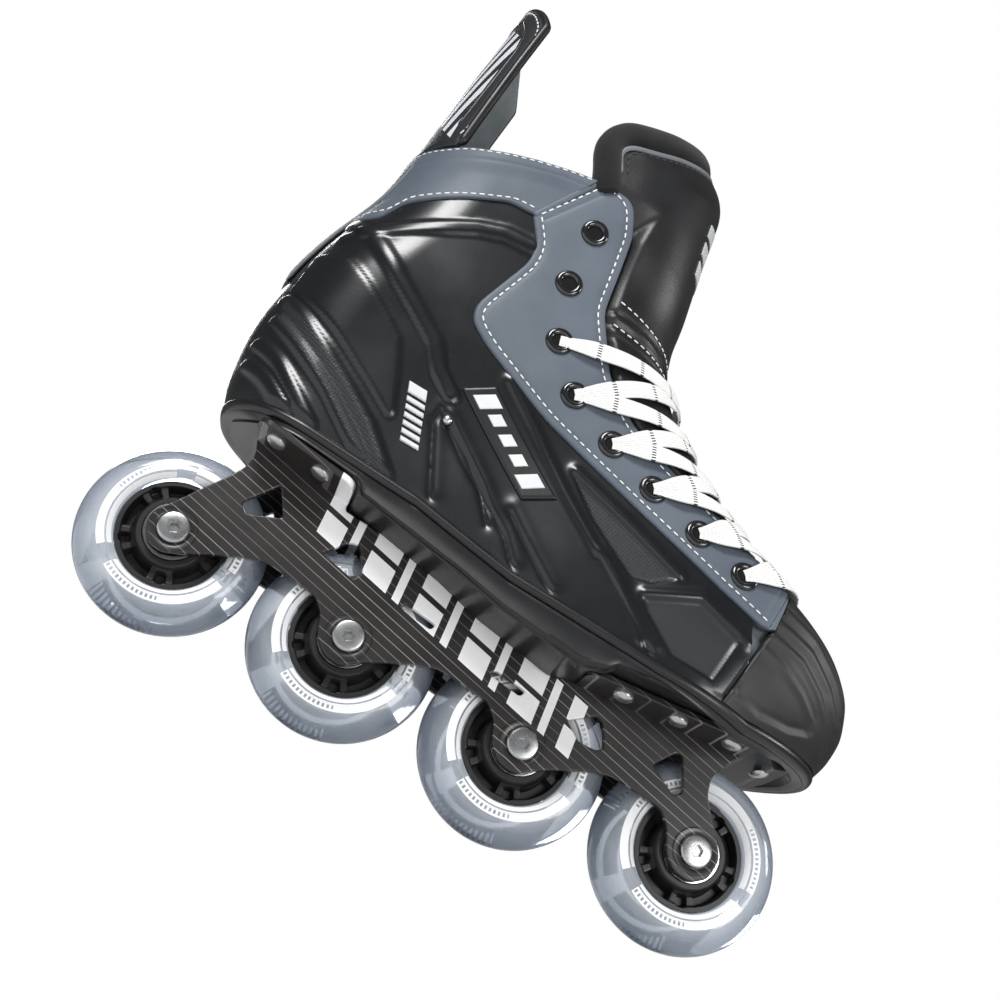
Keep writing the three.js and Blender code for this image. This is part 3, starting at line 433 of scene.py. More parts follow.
def lathe_object(name: str, profile: np.ndarray, segments: int, centre: np.ndarray,
                 axis: np.ndarray | None = None, crease_angle: float = 35.0) -> bpy.types.Object:
    """A closed ring or, when the profile starts and ends on the axis, a closed solid of revolution.

    Args:
        name: the piece's name.
        profile: (radius, along) points; a ring's profile is closed by its first point.
        segments: steps round the turn.
        centre: where the origin of the profile goes.
        axis: direction of the turn's axis, +Y when left out.
        crease_angle: as in new_object.

    Returns:
        The linked object, with UVs of (turn share, radius in centimetres).
    """
    profile = np.asarray(profile, float)
    ring = bool(profile[0, 0] > 0)
    grid = lathe_points(profile, segments)
    count = len(profile)
    turned = grid.transpose(1, 0, 2)
    quads = grid_quads(count, segments, 0, True)
    if ring:
        j = np.arange(segments)
        after = (j + 1) % segments
        seam = np.stack([(count - 1) * segments + j, (count - 1) * segments + after, after, j], axis=-1)
        quads = np.vstack([quads, seam])
    points = turned.reshape(-1, 3)
    if signed_volume(points, quads) < 0:
        quads = quads[:, ::-1]
    share = np.broadcast_to(np.arange(segments)[None, :] / segments, (count, segments))
    radius = np.broadcast_to(profile[:, :1] / 10, (count, segments))
    if axis is not None:
        points = points @ turn_from_y(axis).T
    faces = quads
    if not ring:
        faces = [[v for k, v in enumerate(face) if v != face[k - 1]]
                 for face in np.where(quads < segments, 0, np.where(quads >= (count - 1) * segments,
                                      (count - 1) * segments, quads)).tolist()]
    thing = new_object(name, points + np.asarray(centre, float), faces,
                       np.stack([share, radius], axis=-1).reshape(-1, 2), crease_angle)
    if not ring:
        drop_loose(thing)
    return thing


def turn_from_y(axis: np.ndarray) -> np.ndarray:
    """Rotation matrix that takes +Y to the given direction."""
    target = unit(np.asarray(axis, float))
    source = np.array([0.0, 1.0, 0.0])
    cross = np.cross(source, target)
    dot = float(source @ target)
    if dot < -0.9999:
        return np.diag([1.0, -1.0, -1.0])
    skew = np.array([[0, -cross[2], cross[1]], [cross[2], 0, -cross[0]], [-cross[1], cross[0], 0]])
    return np.eye(3) + skew + skew @ skew / (1 + dot)


def drop_loose(thing: bpy.types.Object) -> None:
    """Removes vertices that no face uses."""
    work = bmesh.new()
    work.from_mesh(thing.data)
    bmesh.ops.delete(work, geom=[v for v in work.verts if not v.link_faces], context="VERTS")
    work.to_mesh(thing.data)
    work.free()


def joined(name: str, things: list[bpy.types.Object]) -> bpy.types.Object:
    """Joins meshes that share one material into one object."""
    with bpy.context.temp_override(active_object=things[0], selected_editable_objects=things):
        bpy.ops.object.join()
    things[0].name = name
    things[0].data.name = name
    return things[0]


def plate_object(name: str, outlines: list[np.ndarray], low: float, high: float,
                 bevel: float) -> bpy.types.Object:
    """A flat plate across the skate, cut to side-view outlines, with rounded edges.

    Args:
        name: the piece's name.
        outlines: closed (x, z) outlines; the first is the edge and the rest are windows.
        low: lowest y.
        high: highest y.
        bevel: radius of the rounded edges.

    Returns:
        The linked object.
    """
    curve = bpy.data.curves.new(name, "CURVE")
    curve.dimensions = "2D"
    curve.fill_mode = "BOTH"
    curve.extrude = ((high - low) / 2 - bevel) * MM
    curve.bevel_depth = bevel * MM
    curve.bevel_resolution = 2
    curve.offset = -bevel * MM
    for outline in outlines:
        spline = curve.splines.new("POLY")
        spline.points.add(len(outline) - 1)
        flat = np.c_[outline * MM, np.zeros(len(outline)), np.ones(len(outline))]
        spline.points.foreach_set("co", flat.ravel())
        spline.use_cyclic_u = True
    source = linked(name + "_curve", curve)
    mesh = bpy.data.meshes.new_from_object(source.evaluated_get(bpy.context.evaluated_depsgraph_get()))
    bpy.data.objects.remove(source)
    flat = np.zeros(len(mesh.vertices) * 3, np.float32)
    mesh.vertices.foreach_get("co", flat)
    points = flat.reshape(-1, 3).astype(float) / MM
    placed = np.stack([points[:, 0], (low + high) / 2 - points[:, 2], points[:, 1]], axis=1)
    faces = [list(polygon.vertices) for polygon in mesh.polygons]
    bpy.data.meshes.remove(mesh)
    return new_object(name, placed, faces, None, 30.0)


def rounded_outline(corners: Line, radius: float, count: int = 160) -> np.ndarray:
    """A closed outline with its corners rounded, sampled at even steps.

    Args:
        corners: the corners, in order.
        radius: width of the rounding.
        count: points returned.

    Returns:
        Points with shape (count, 2).
    """
    points = np.array(tuple(corners) + (corners[0],), float)
    steps = travelled(points)
    fine = 2 * FINE_STEPS
    dense = follow(np.linspace(0, steps[-1], fine, endpoint=False), steps, points)
    spacing = steps[-1] / fine
    reach = int(3 * radius / spacing) + 1
    wrapped = np.vstack([dense[-reach:], dense, dense[:reach]])
    soft = convolved(wrapped, bell(np.arange(-reach, reach + 1) * spacing, radius))
    return soft[np.linspace(0, fine, count, endpoint=False).astype(int)]


# --------------------------------------------------------------------------- shader arithmetic


class Value:
    """A shader number that takes part in Python arithmetic by adding Math nodes."""

    def __init__(self, shader: "Shader", socket: bpy.types.NodeSocket) -> None:
        """Wraps one output socket."""
        self.shader = shader
        self.socket = socket

    def _math(self, operation: str, *others: "Value | float", clamp: bool = False) -> "Value":
        """One Math node with self first."""
        return self.shader.math(operation, self, *others, clamp=clamp)

    def __add__(self, other: "Value | float") -> "Value":
        """self + other."""
        return self._math("ADD", other)

    def __sub__(self, other: "Value | float") -> "Value":
        """self - other."""
        return self._math("SUBTRACT", other)

    def __mul__(self, other: "Value | float") -> "Value":
        """self * other."""
        return self._math("MULTIPLY", other)

    def __truediv__(self, other: "Value | float") -> "Value":
        """self / other."""
        return self._math("DIVIDE", other)

    def __radd__(self, other: float) -> "Value":
        """other + self."""
        return self.shader.math("ADD", other, self)

    def __rsub__(self, other: float) -> "Value":
        """other - self."""
        return self.shader.math("SUBTRACT", other, self)

    def __rmul__(self, other: float) -> "Value":
        """other * self."""
        return self.shader.math("MULTIPLY", other, self)

    def __lt__(self, other: "Value | float") -> "Value":
        """1 where self < other, otherwise 0."""
        return self._math("LESS_THAN", other)

    def __gt__(self, other: "Value | float") -> "Value":
        """1 where self > other, otherwise 0."""
        return self._math("GREATER_THAN", other)

    def fraction(self) -> "Value":
        """Part after the decimal point."""
        return self._math("FRACT")

    def magnitude(self) -> "Value":
        """Absolute value."""
        return self._math("ABSOLUTE")

    def sine(self) -> "Value":
        """Sine of the number in radians."""
        return self._math("SINE")

    def ramp(self, low: float, high: float) -> "Value":
        """0 at low and 1 at high, clamped."""
        return self.shader.math("MULTIPLY", self - low, 1 / (high - low), clamp=True)

    def band(self, low: "Value | float", high: "Value | float") -> "Value":
        """1 between low and high, otherwise 0."""
        return (self > low) * (self < high)


class Shader:
    """A material's nodes, with one Principled surface."""

    def __init__(self, name: str) -> None:
        """Starts an empty material called name."""
        self.material = bpy.data.materials.new(name)
        self.material.use_nodes = True
        self.tree = self.material.node_tree
        self.tree.nodes.clear()
        self.surface = self.node("ShaderNodeBsdfPrincipled")
        self.output = self.node("ShaderNodeOutputMaterial")
        self.feed(self.output.inputs[0], self.surface.outputs[0])

    def node(self, kind: str, settings: dict | None = None, **inputs: object) -> bpy.types.Node:
        """Adds a node.

        Args:
            kind: the node's type name.
            settings: properties set on the node.
            **inputs: input sockets by name, with _ for spaces, as a Value, socket or constant.

        Returns:
            The node.
        """
        made = self.tree.nodes.new(kind)
        for key, value in (settings or {}).items():
            setattr(made, key, value)
        for key, value in inputs.items():
            self.feed(made.inputs[key.replace("_", " ")], value)
        return made

    def feed(self, socket: bpy.types.NodeSocket, value: object) -> None:
        """Links a Value or socket, or sets a constant."""
        if isinstance(value, Value):
            self.tree.links.new(value.socket, socket)
        elif isinstance(value, bpy.types.NodeSocket):
            self.tree.links.new(value, socket)
        elif isinstance(value, tuple) and socket.type == "RGBA" and len(value) == 3:
            socket.default_value = (*value, 1.0)
        else:
            socket.default_value = value

    def math(self, operation: str, *terms: "Value | float", clamp: bool = False) -> Value:
        """One Math node over the terms."""
        made = self.node("ShaderNodeMath", {"operation": operation, "use_clamp": clamp})
        for socket, term in zip(made.inputs, terms):
            self.feed(socket, term)
        return Value(self, made.outputs[0])

    def place(self) -> bpy.types.NodeSocket:
        """Object coordinates in metres."""
        return self.node("ShaderNodeTexCoord").outputs["Object"]

    def xyz(self) -> tuple[Value, Value, Value]:
        """Object coordinates in millimetres, as three numbers."""
        split = self.node("ShaderNodeSeparateXYZ", Vector=self.place())
        return tuple(Value(self, split.outputs[k]) * 1000 for k in range(3))

    def uv(self) -> tuple[Value, Value]:
        """The piece's own UVs, as two numbers."""
        split = self.node("ShaderNodeSeparateXYZ", Vector=self.node("ShaderNodeUVMap").outputs[0])
        return Value(self, split.outputs[0]), Value(self, split.outputs[1])

    def noise(self, per_mm: float, detail: float = 2.0) -> Value:
        """Noise from 0 to 1 with about per_mm lumps to the millimetre."""
        made = self.node("ShaderNodeTexNoise", None, Scale=per_mm * 1000, Detail=detail, Vector=self.place())
        return Value(self, made.outputs[0])

    def cells(self, per_mm: float) -> Value:
        """Distance pattern of a Voronoi texture with per_mm cells to the millimetre."""
        made = self.node("ShaderNodeTexVoronoi", None, Scale=per_mm * 1000, Vector=self.place())
        return Value(self, made.outputs["Distance"])

    def mixed(self, share: Value, first: object, second: object) -> bpy.types.NodeSocket:
        """A colour that goes from first to second as share goes from 0 to 1."""
        made = self.node("ShaderNodeMix", {"data_type": "RGBA"})
        self.feed(made.inputs[0], share)
        self.feed(made.inputs[6], first)
        self.feed(made.inputs[7], second)
        return made.outputs[2]

    def bump(self, height: Value, depth_mm: float, strength: float = 1.0) -> None:
        """Feeds the surface's Normal from a height, where 1 is depth_mm."""
        made = self.node("ShaderNodeBump", None, Strength=strength, Distance=depth_mm * MM, Height=height)
        self.tree.links.new(made.outputs[0], self.surface.inputs["Normal"])

    def cover(self, share: object, other: bpy.types.Node) -> None:
        """Covers the surface with another shader node where share is 1."""
        both = self.node("ShaderNodeMixShader")
        for socket, value in zip(both.inputs, (share, self.surface.outputs[0], other.outputs[0])):
            self.feed(socket, value)
        self.feed(self.output.inputs[0], both.outputs[0])

    def look(self, colour: object, roughness: object, **constants: object) -> None:
        """Sets the surface's colour, roughness and other sockets."""
        self.feed(self.surface.inputs["Base Color"], colour)
        self.feed(self.surface.inputs["Roughness"], roughness)
        for key, value in constants.items():
            self.feed(self.surface.inputs[key.replace("_", " ")], value)


Colour = tuple[float, float, float]


class Grain(Enum):
    """Kinds of fine surface relief."""

    MOULDED = "fine random noise"
    LEATHER = "small pebbles between creases"
    FELT = "short fibres"
    WEAVE = "crossed threads"
    BRUSHED = "turned metal"


@dataclass(frozen=True)
class Finish:
    """A plain surface: two close tones, a fine relief and worn, dusty patches."""

    name: str
    colour: Colour
    second: Colour
    roughness: float
    grain: Grain = Grain.MOULDED
    grain_per_mm: float = 2.0
    grain_depth: float = 0.05
    metallic: float = 0.0
    coat: float = 0.0
    sheen: float = 0.0
    wear: float = 0.08

    def height(self, shader: Shader) -> Value:
        """The relief, from 0 to 1."""
        if self.grain is Grain.LEATHER:
            pebbles = shader.cells(self.grain_per_mm)
            return (1 - pebbles * 1.1) * 0.7 + shader.noise(self.grain_per_mm * 3) * 0.3
        if self.grain is Grain.FELT:
            return shader.noise(self.grain_per_mm, 6.0) * 0.6 + shader.noise(self.grain_per_mm * 4, 2.0) * 0.4
        if self.grain is Grain.WEAVE:
            x, y, z = shader.xyz()
            turn = 2 * math.pi * self.grain_per_mm
            return ((x * turn + y * turn * 0.6).sine() * (z * turn).sine()) * 0.5 + 0.5
        if self.grain is Grain.BRUSHED:
            return shader.noise(self.grain_per_mm, 3.0)
        return shader.noise(self.grain_per_mm, 4.0)

    def tone(self, shader: Shader) -> object:
        """The surface's colour."""
        return shader.mixed(shader.noise(0.06, 4.0).ramp(0.35, 0.65), self.colour, self.second)

    def make(self) -> bpy.types.Material:
        """Builds the material."""
        shader = Shader(self.name)
        patches = shader.noise(0.035, 5.0).ramp(0.4, 0.7)
        fine = shader.noise(0.9, 3.0)
        rough = self.roughness + patches * self.wear + (fine - 0.5) * (self.wear * 0.6)
        shader.look(self.tone(shader), rough, Metallic=self.metallic, Coat_Weight=self.coat,
                    Coat_Roughness=0.12, Sheen_Weight=self.sheen, Sheen_Roughness=0.5)
        shader.bump(self.height(shader), self.grain_depth, 0.6)
        return shader.material


@dataclass(frozen=True)
class Striped(Finish):
    """A finish with thin straight lines, as printed or cast into the surface."""

    pitch: float = 3.4
    line: float = 0.3
    tilt: float = -0.19
    line_colour: Colour = (0.26, 0.255, 0.25)
    block: tuple[float, float, float, float] | None = None

    def tone(self, shader: Shader) -> object:
        """Base tone, pinstripes and a row of slanted blocks."""
        base = Finish.tone(self, shader)
        x, _, z = shader.xyz()
        along = x * math.cos(self.tilt) + z * math.sin(self.tilt)
        across = z * math.cos(self.tilt) - x * math.sin(self.tilt)
        stripe = (across / self.pitch + 40).fraction() < self.line / self.pitch
        fade = (along * 0.021 + across * 0.2).sine() * 0.3 + 0.65
        colour = shader.mixed(stripe * fade, base, self.line_colour)
        if self.block is None:
            return colour
        start, end, low, high = self.block
        lean = along + (across - low) * 0.32
        inside = lean.band(start, end) * across.band(low, high)
        cell = ((lean - start) / 24 + 0.06).fraction()
        split = (across - low - (high - low) * 0.5).magnitude() > 1.1
        shape = inside * shader.math("MAXIMUM", cell.band(0.0, 0.5) * split, cell.band(0.62, 0.76))
        return shader.mixed(shape, colour, (0.92, 0.92, 0.93))


@dataclass(frozen=True)
class TyreFinish:
    """Clear cast urethane with a printed ring on the flat of its side, and painted shade darkening it towards
    the tread.
    """

    name: str = "tyre_urethane"
    print_radius: tuple[float, float] = (21.9, 27.4)
    dark_radius: float = 24.0

    def make(self) -> bpy.types.Material:
        """Builds the material; the tyre's UV holds (turn share, radius in centimetres)."""
        shader = Shader(self.name)
        share, radius_cm = shader.uv()
        radius = radius_cm * 10
        low, high = self.print_radius
        ring = radius.band(low, high)
        arcs = ((share * 3).fraction() < 0.86)
        ticks = (share * 90).fraction().band(0.25, 0.75) * radius.band(25.2, 26.6)
        marks = ticks * ((share * 3).fraction() < 0.42)
        line = (radius - self.dark_radius).magnitude() < 0.35
        white = ring * arcs * (1 - shader.math("MAXIMUM", line, marks, clamp=True))
        # Painted shade: the clear body darkens to a deep blue towards the tread, standing in for the dark
        # edges that refraction gives clear urethane. The worn patches near the tread are real wear.
        rim = radius.ramp(27.5, 34.0)
        clear = shader.mixed(rim, (0.62, 0.66, 0.72), (0.30, 0.35, 0.43))
        worn = shader.noise(0.25, 5.0).ramp(0.45, 0.8)
        body = shader.mixed(worn * rim * 0.5, clear, (0.34, 0.37, 0.41))
        shader.look(body, 0.06 + worn * 0.12, Coat_Weight=0.3, Coat_Roughness=0.06, IOR=1.33,
                    Transmission_Weight=0.66)
        shader.bump(shader.noise(0.8, 4.0), 0.03, 0.35)
        ink = shader.node("ShaderNodeBsdfPrincipled", None, Base_Color=(0.9, 0.91, 0.92), Roughness=0.35)
        shader.cover(white, ink)
        return shader.material


@dataclass(frozen=True)
class LaceFinish:
    """Flat braided cord; UV is (millimetres along, millimetres across)."""

    name: str = "lace_braid"

    def make(self) -> bpy.types.Material:
        """Builds ribs along the lace, a herringbone across them and dark fleck pairs, with painted shade in
        the troughs between the ribs.
        """
        shader = Shader(self.name)
        along, across = shader.uv()
        ribs = (across * (2 * math.pi / 1.15)).sine() * 0.5 + 0.5
        braid = (along * 4.4 + (across * 5.5).sine() * 1.4).sine() * 0.5 + 0.5
        fleck = (along / 19 + 0.2).fraction().band(0.0, 0.09) * ((across / 1.15).fraction().band(0.3, 0.8))
        # The tone follows the rib relief: the grey in the troughs between ribs is painted shade, the white on
        # the crests the lace's own colour.
        base = shader.mixed(ribs, (0.62, 0.62, 0.61), (0.9, 0.9, 0.885))
        shader.look(shader.mixed(fleck, base, (0.05, 0.05, 0.055)), 0.9, Sheen_Weight=0.25)
        shader.bump(ribs * 0.6 + braid * 0.4, 0.16, 0.9)
        return shader.material


@dataclass(frozen=True)
class GuardFinish(Finish):
    """Dark synthetic leather whose raised centre panel carries pale slanted stripes."""

    def tone(self, shader: Shader) -> object:
        """Base tone with stripes between two heights, only away from the edges."""
        base = Finish.tone(self, shader)
        _, y, z = shader.xyz()
        lean = (y.magnitude() - (z - 280) * 0.24) / 7.0
        stripe = (lean + 20).fraction() < 0.52
        slant = z + y.magnitude() * 0.9
        panel = slant.band(262, 326) * y.magnitude().band(2.0, 28.0)
        return shader.mixed(stripe * panel, base, (0.62, 0.65, 0.68))


@dataclass(frozen=True)
class ShellFinish(Finish):
    """Satin moulding whose UV holds (matte share, dimple share) for its recessed and textured areas."""

    matte_roughness: float = 0.5
    dimple_pitch: float = 1.9

    def make(self) -> bpy.types.Material:
        """Builds the material: gloss ribs, fine grain in the recesses, rows of dimples in the bands."""
        shader = Shader(self.name)
        matte, dimples = shader.uv()
        x, _, z = shader.xyz()
        turn = 2 * math.pi / self.dimple_pitch
        cells = ((x + z * 0.5) * turn).sine() * ((z - x * 0.5) * turn).sine()
        scuffs = shader.noise(0.035, 5.0).ramp(0.45, 0.75)
        rough = self.roughness + matte * (self.matte_roughness - self.roughness) + scuffs * self.wear
        tone = shader.mixed(matte, self.colour, self.second)
        shader.look(tone, rough, Coat_Weight=self.coat, Coat_Roughness=0.15)
        grain = shader.noise(self.grain_per_mm, 3.0) * (0.25 + matte * 0.9)
        shader.bump(grain * 0.35 - cells.ramp(0.2, 0.8) * dimples, 0.16, 0.8)
        return shader.material


def coated(thing: bpy.types.Object, material: bpy.types.Material) -> bpy.types.Object:
    """Gives an object one material."""
    thing.data.materials.clear()
    thing.data.materials.append(material)
    return thing


FLEX = "tongue_flex"
GUARD_FLEX = "guard_flex"
BENDS = {
    FLEX: ("tongue_top", (0.0205, 0.0, 0.2005), (0.0205, 0.0, 0.226)),
    GUARD_FLEX: ("guard", (-0.123, 0.0, 0.2300), (-0.123, 0.0, 0.2560)),
}


def placed(thing: bpy.types.Object, body: str, slot: str, material: bpy.types.Material,
           *replaced: str) -> bpy.types.Object:
    """Dresses a piece, rides it on a body and records the nodes it stands for.

    Args:
        thing: the piece.
        body: the body it moves with, or the name of a bend between the boot and a moving body, for which the
            piece is only baked in place and follows no body.
        slot: its finish slot, or nothing for a small trim piece; not used.
        material: its material.
        *replaced: the plain nodes it replaces.

    Returns:
        The piece.
    """
    coated(thing, material)
    if body in BENDS:
        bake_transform(thing)
    else:
        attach(thing, body)
    if replaced:
        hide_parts(*replaced)
    LOG.info("%s: %d faces", thing.name, len(thing.data.polygons))
    return thing


class Finishes:
    """Every material of the skate, built once."""

    def __init__(self) -> None:
        """Builds the materials."""
        self.shell = ShellFinish("shell_moulding", (0.007, 0.008, 0.010), (0.010, 0.0115, 0.015), 0.27,
                            grain_per_mm=1.6, grain_depth=0.03, coat=0.15).make()
        self.matte = Finish("matte_moulding", (0.009, 0.009, 0.0095), (0.014, 0.014, 0.0145), 0.46,
                            grain_per_mm=2.4, grain_depth=0.09).make()
        self.sole = Finish("sole_moulding", (0.005, 0.0055, 0.0065), (0.008, 0.0085, 0.010), 0.34,
                           grain_per_mm=1.2, grain_depth=0.03, coat=0.12).make()
        self.slate = Finish("slate_leather", (0.082, 0.102, 0.130), (0.098, 0.119, 0.149), 0.52,
                            Grain.LEATHER, 1.5, 0.05).make()
        self.tongue = Finish("tongue_leather", (0.008, 0.008, 0.009), (0.013, 0.0135, 0.015), 0.36,
                             Grain.LEATHER, 1.1, 0.06).make()
        self.guard = GuardFinish("guard_leather", (0.014, 0.015, 0.018), (0.019, 0.021, 0.025), 0.5,
                                 Grain.LEATHER, 1.2, 0.06).make()
        self.suede = Finish("lining_suede", (0.115, 0.135, 0.145), (0.155, 0.175, 0.185), 0.9,
                            Grain.FELT, 1.6, 0.12, sheen=0.4).make()
        self.felt = Finish("rim_felt", (0.004, 0.004, 0.0045), (0.011, 0.011, 0.012), 0.97,
                           Grain.FELT, 1.1, 0.45, sheen=0.12).make()
        self.foam = Finish("foam_fabric", (0.03, 0.032, 0.036), (0.05, 0.053, 0.06), 0.92,
                           Grain.WEAVE, 0.6, 0.15, sheen=0.2).make()
        # Grey binding: its grey stands for the highlight on a shiny rolled edge, a painted highlight.
        self.binding = Finish("binding_grey_painted_highlight", (0.13, 0.14, 0.155), (0.17, 0.18, 0.195), 0.5,
                              Grain.LEATHER, 1.5, 0.05).make()
        self.pale = Finish("pale_moulding", (0.62, 0.64, 0.66), (0.72, 0.74, 0.75), 0.35,
                           grain_per_mm=1.5, grain_depth=0.02).make()
        self.thread = Finish("white_thread", (0.72, 0.73, 0.73), (0.82, 0.82, 0.81), 0.75,
                             grain_per_mm=5, grain_depth=0.1).make()
        self.dark_thread = Finish("dark_thread", (0.03, 0.03, 0.032), (0.045, 0.045, 0.047), 0.75,
                                  grain_per_mm=5, grain_depth=0.1).make()
        self.enamel = Finish("eyelet_enamel", (0.012, 0.012, 0.014), (0.016, 0.016, 0.018), 0.12,
                             grain_per_mm=0.5, grain_depth=0.01, coat=0.6, wear=0.05).make()
        self.frame = Striped("frame_coat", (0.012, 0.0105, 0.010), (0.018, 0.0155, 0.0145), 0.34,
                             grain_per_mm=3.0, grain_depth=0.03, coat=0.2,
                             block=(-79.0, 46.0, 50.0, 70.5)).make()
        # Near-black discs in the eyelet holes: painted shade for the dark inside of each hole.
        self.dark = Finish("eyelet_hole_painted_shade", (0.0005, 0.0005, 0.0005), (0.001, 0.001, 0.001), 1.0).make()
        self.zinc = Finish("zinc_steel", (0.46, 0.47, 0.48), (0.58, 0.58, 0.58), 0.28,
                           Grain.BRUSHED, 1.5, 0.02, metallic=1.0, wear=0.15).make()
        self.bearing = Finish("bearing_steel", (0.5, 0.51, 0.53), (0.6, 0.6, 0.62), 0.2,
                              Grain.BRUSHED, 2.0, 0.015, metallic=1.0, wear=0.1).make()
        self.nylon = Finish("hub_nylon", (0.010, 0.010, 0.011), (0.015, 0.015, 0.016), 0.36,
                            grain_per_mm=2.0, grain_depth=0.04).make()
        self.board = Finish("board_fibre", (0.2, 0.17, 0.13), (0.25, 0.21, 0.16), 0.9,
                            Grain.FELT, 1.0, 0.1).make()
        self.tyre = TyreFinish().make()
        self.lace = LaceFinish().make()


# --------------------------------------------------------------------------- wheels


def table_at(line: Line, x: np.ndarray) -> np.ndarray:
    """Second value of a line of pairs at each x."""
    keys, values = np.array(line, float).T
    return np.interp(x, keys, values)


def torus_object(name: str, grid: np.ndarray, uv: np.ndarray | None = None) -> bpy.types.Object:
    """A closed ring from a grid whose rows and columns both join up with themselves.

    Args:
        name: the piece's name.
        grid: points, shape (rows, columns, 3).
        uv: one (u, v) per point.

    Returns:
        The linked object.
    """
    rows, columns = grid.shape[:2]
    i = np.arange(rows)[:, None]
    j = np.arange(columns)[None, :]
    down, right = (i + 1) % rows, (j + 1) % columns
    corners = (i * columns + j, i * columns + right, down * columns + right, down * columns + j)
    quads = np.stack(np.broadcast_arrays(*corners), axis=-1).reshape(-1, 4)
    points = grid.reshape(-1, 3)
    if signed_volume(points, quads) < 0:
        quads = quads[:, ::-1]
    return new_object(name, points, quads, None if uv is None else uv.reshape(-1, 2))


def dome(radius: float, rise: float, seat: float, foot: Line) -> np.ndarray:
    """Profile of a domed rivet head: quarter ellipse from its crown, then its foot points."""
    angle = np.linspace(0, math.pi / 2, 9)
    return np.vstack([np.c_[radius * np.sin(angle), rise * np.cos(angle) + seat], foot])


@dataclass(frozen=True)
class Wheels:
    """Four cast wheels on spoked nylon cores, each on two bearings and a through bolt."""

    axle_x: tuple[float, ...] = (111.75, 37.25, -37.25, -111.75)
    axle_z: float = 36.0
    radius: float = 36.0
    half_width: float = 12.0
    pockets: int = 5
    segments: int = 120

    def tyre_profile(self) -> np.ndarray:
        """Half-round tread, slightly dished side wall and a straight bore, as (radius, along)."""
        angle = np.linspace(-90, 90, 25) * math.pi / 180
        tread = np.c_[self.radius - 10.8 + 10.8 * np.cos(angle) ** 0.9, 11.4 * np.sin(angle)]
        wall = np.array([(24.6, 11.75), (23.6, 11.3), (22.6, 10.2), (21.6, 9.4), (21.25, 8.8)])
        return np.vstack([tread, wall, (wall * (1, -1))[::-1]])

    def core_grid(self) -> np.ndarray:
        """Core ring whose two faces sink into large scalloped and small round pockets."""
        radii = np.concatenate([np.linspace(20.9, 13.9, 26), np.linspace(13.6, 11.35, 5)])
        angle = np.linspace(0, 2 * math.pi, 240, endpoint=False)[:, None]
        face = np.interp(radii, (11.3, 13.4, 14.0, 15.5, 18.6, 19.2, 20.9),
                         (11.7, 11.7, 9.6, 7.6, 7.6, 8.5, 8.5))
        cell = (angle * self.pockets / (2 * math.pi)) % 1
        away = np.abs(cell - 0.5) * 2 * math.pi / self.pockets
        large = smoothstep(0.0, 0.9, np.minimum((0.37 - away) * 17, np.minimum(radii - 14.2, 19.0 - radii)))
        other = np.minimum(cell, 1 - cell) * 2 * math.pi / self.pockets
        off_ring = np.maximum(np.abs(radii - 17.2) - 0.9, 0) * 1.4
        small = smoothstep(0.0, 0.8, 2.2 - np.hypot(other * 17, off_ring))
        height = face - 4.6 * large - 3.2 * small
        rows = np.concatenate([height, -height[:, ::-1]], axis=1)
        spread = np.broadcast_to(np.concatenate([radii, radii[::-1]]), rows.shape)
        return np.stack([spread * np.cos(angle), rows, spread * np.sin(angle)], axis=-1)

    def bolt_rings(self) -> np.ndarray:
        """Rings of the bolt from one hexagon socket's floor to the other's."""
        angle = np.linspace(0, 2 * math.pi, 48, endpoint=False)
        wedge = (angle + math.pi / 6) % (math.pi / 3) - math.pi / 6
        hexagon = 2.0 / np.cos(wedge)
        circle = np.ones(48)
        half = [(hexagon * 0.98, 16.3), (hexagon, 16.4), (hexagon, 17.4), (hexagon * 1.08, 17.62),
                (circle * 4.9, 17.66), (circle * 5.5, 17.5), (circle * 5.95, 17.0), (circle * 6.0, 16.1),
                (circle * 5.9, 15.95), (circle * 3.8, 15.9)]
        rings = [(radius, -y) for radius, y in half] + [(radius, y) for radius, y in half[::-1]]
        return np.array([np.c_[radius * np.cos(angle), np.full(48, y), radius * np.sin(angle)]
                         for radius, y in rings])

    def build(self, finishes: Finishes) -> None:
        """Makes every wheel's tyre, core and bolt, and dresses the bearings."""
        for number, x in enumerate(self.axle_x, 1):
            centre = np.array([x, 0, self.axle_z])
            body = f"wheel_{number}"
            tyre = lathe_object(f"tyre_{number}_look", self.tyre_profile(), self.segments, centre)
            placed(tyre, body, "tyre", finishes.tyre, f"tyre_{number}")
            core = torus_object(f"hub_{number}_look", self.core_grid() + centre)
            placed(core, body, "hub_nylon", finishes.nylon, f"hub_{number}")
            bolt = capped_tube(f"axle_bolt_{number}_look", self.bolt_rings() + centre, None, 25)
            placed(bolt, "boot", "zinc_steel", finishes.zinc, f"axle_bolt_{number}")
            for side, turn in (("lateral", -1), ("medial", 1)):
                shield = np.array([(10.95, 11.9), (10.95, 5.2), (6.5, 5.2), (6.5, 11.5), (8.4, 11.35),
                                   (9.3, 11.55), (9.5, 11.85), (10.6, 11.95)]) * (1, turn)
                ring = lathe_object(f"bearing_shield_{number}_{side}", shield, 48, centre)
                placed(ring, body, "bearing_steel", finishes.bearing, f"bearing_outer_race_{number}_{side}")
                inner = np.array([(6.0, 11.9), (6.0, 5.1), (4.0, 5.1), (4.0, 11.8), (4.3, 12.1), (5.8, 12.1)])
                race = lathe_object(f"bearing_inner_{number}_{side}", inner * (1, turn), 48, centre)
                placed(race, "boot", "bearing_steel", finishes.bearing, f"bearing_inner_race_{number}_{side}")


# --------------------------------------------------------------------------- frame

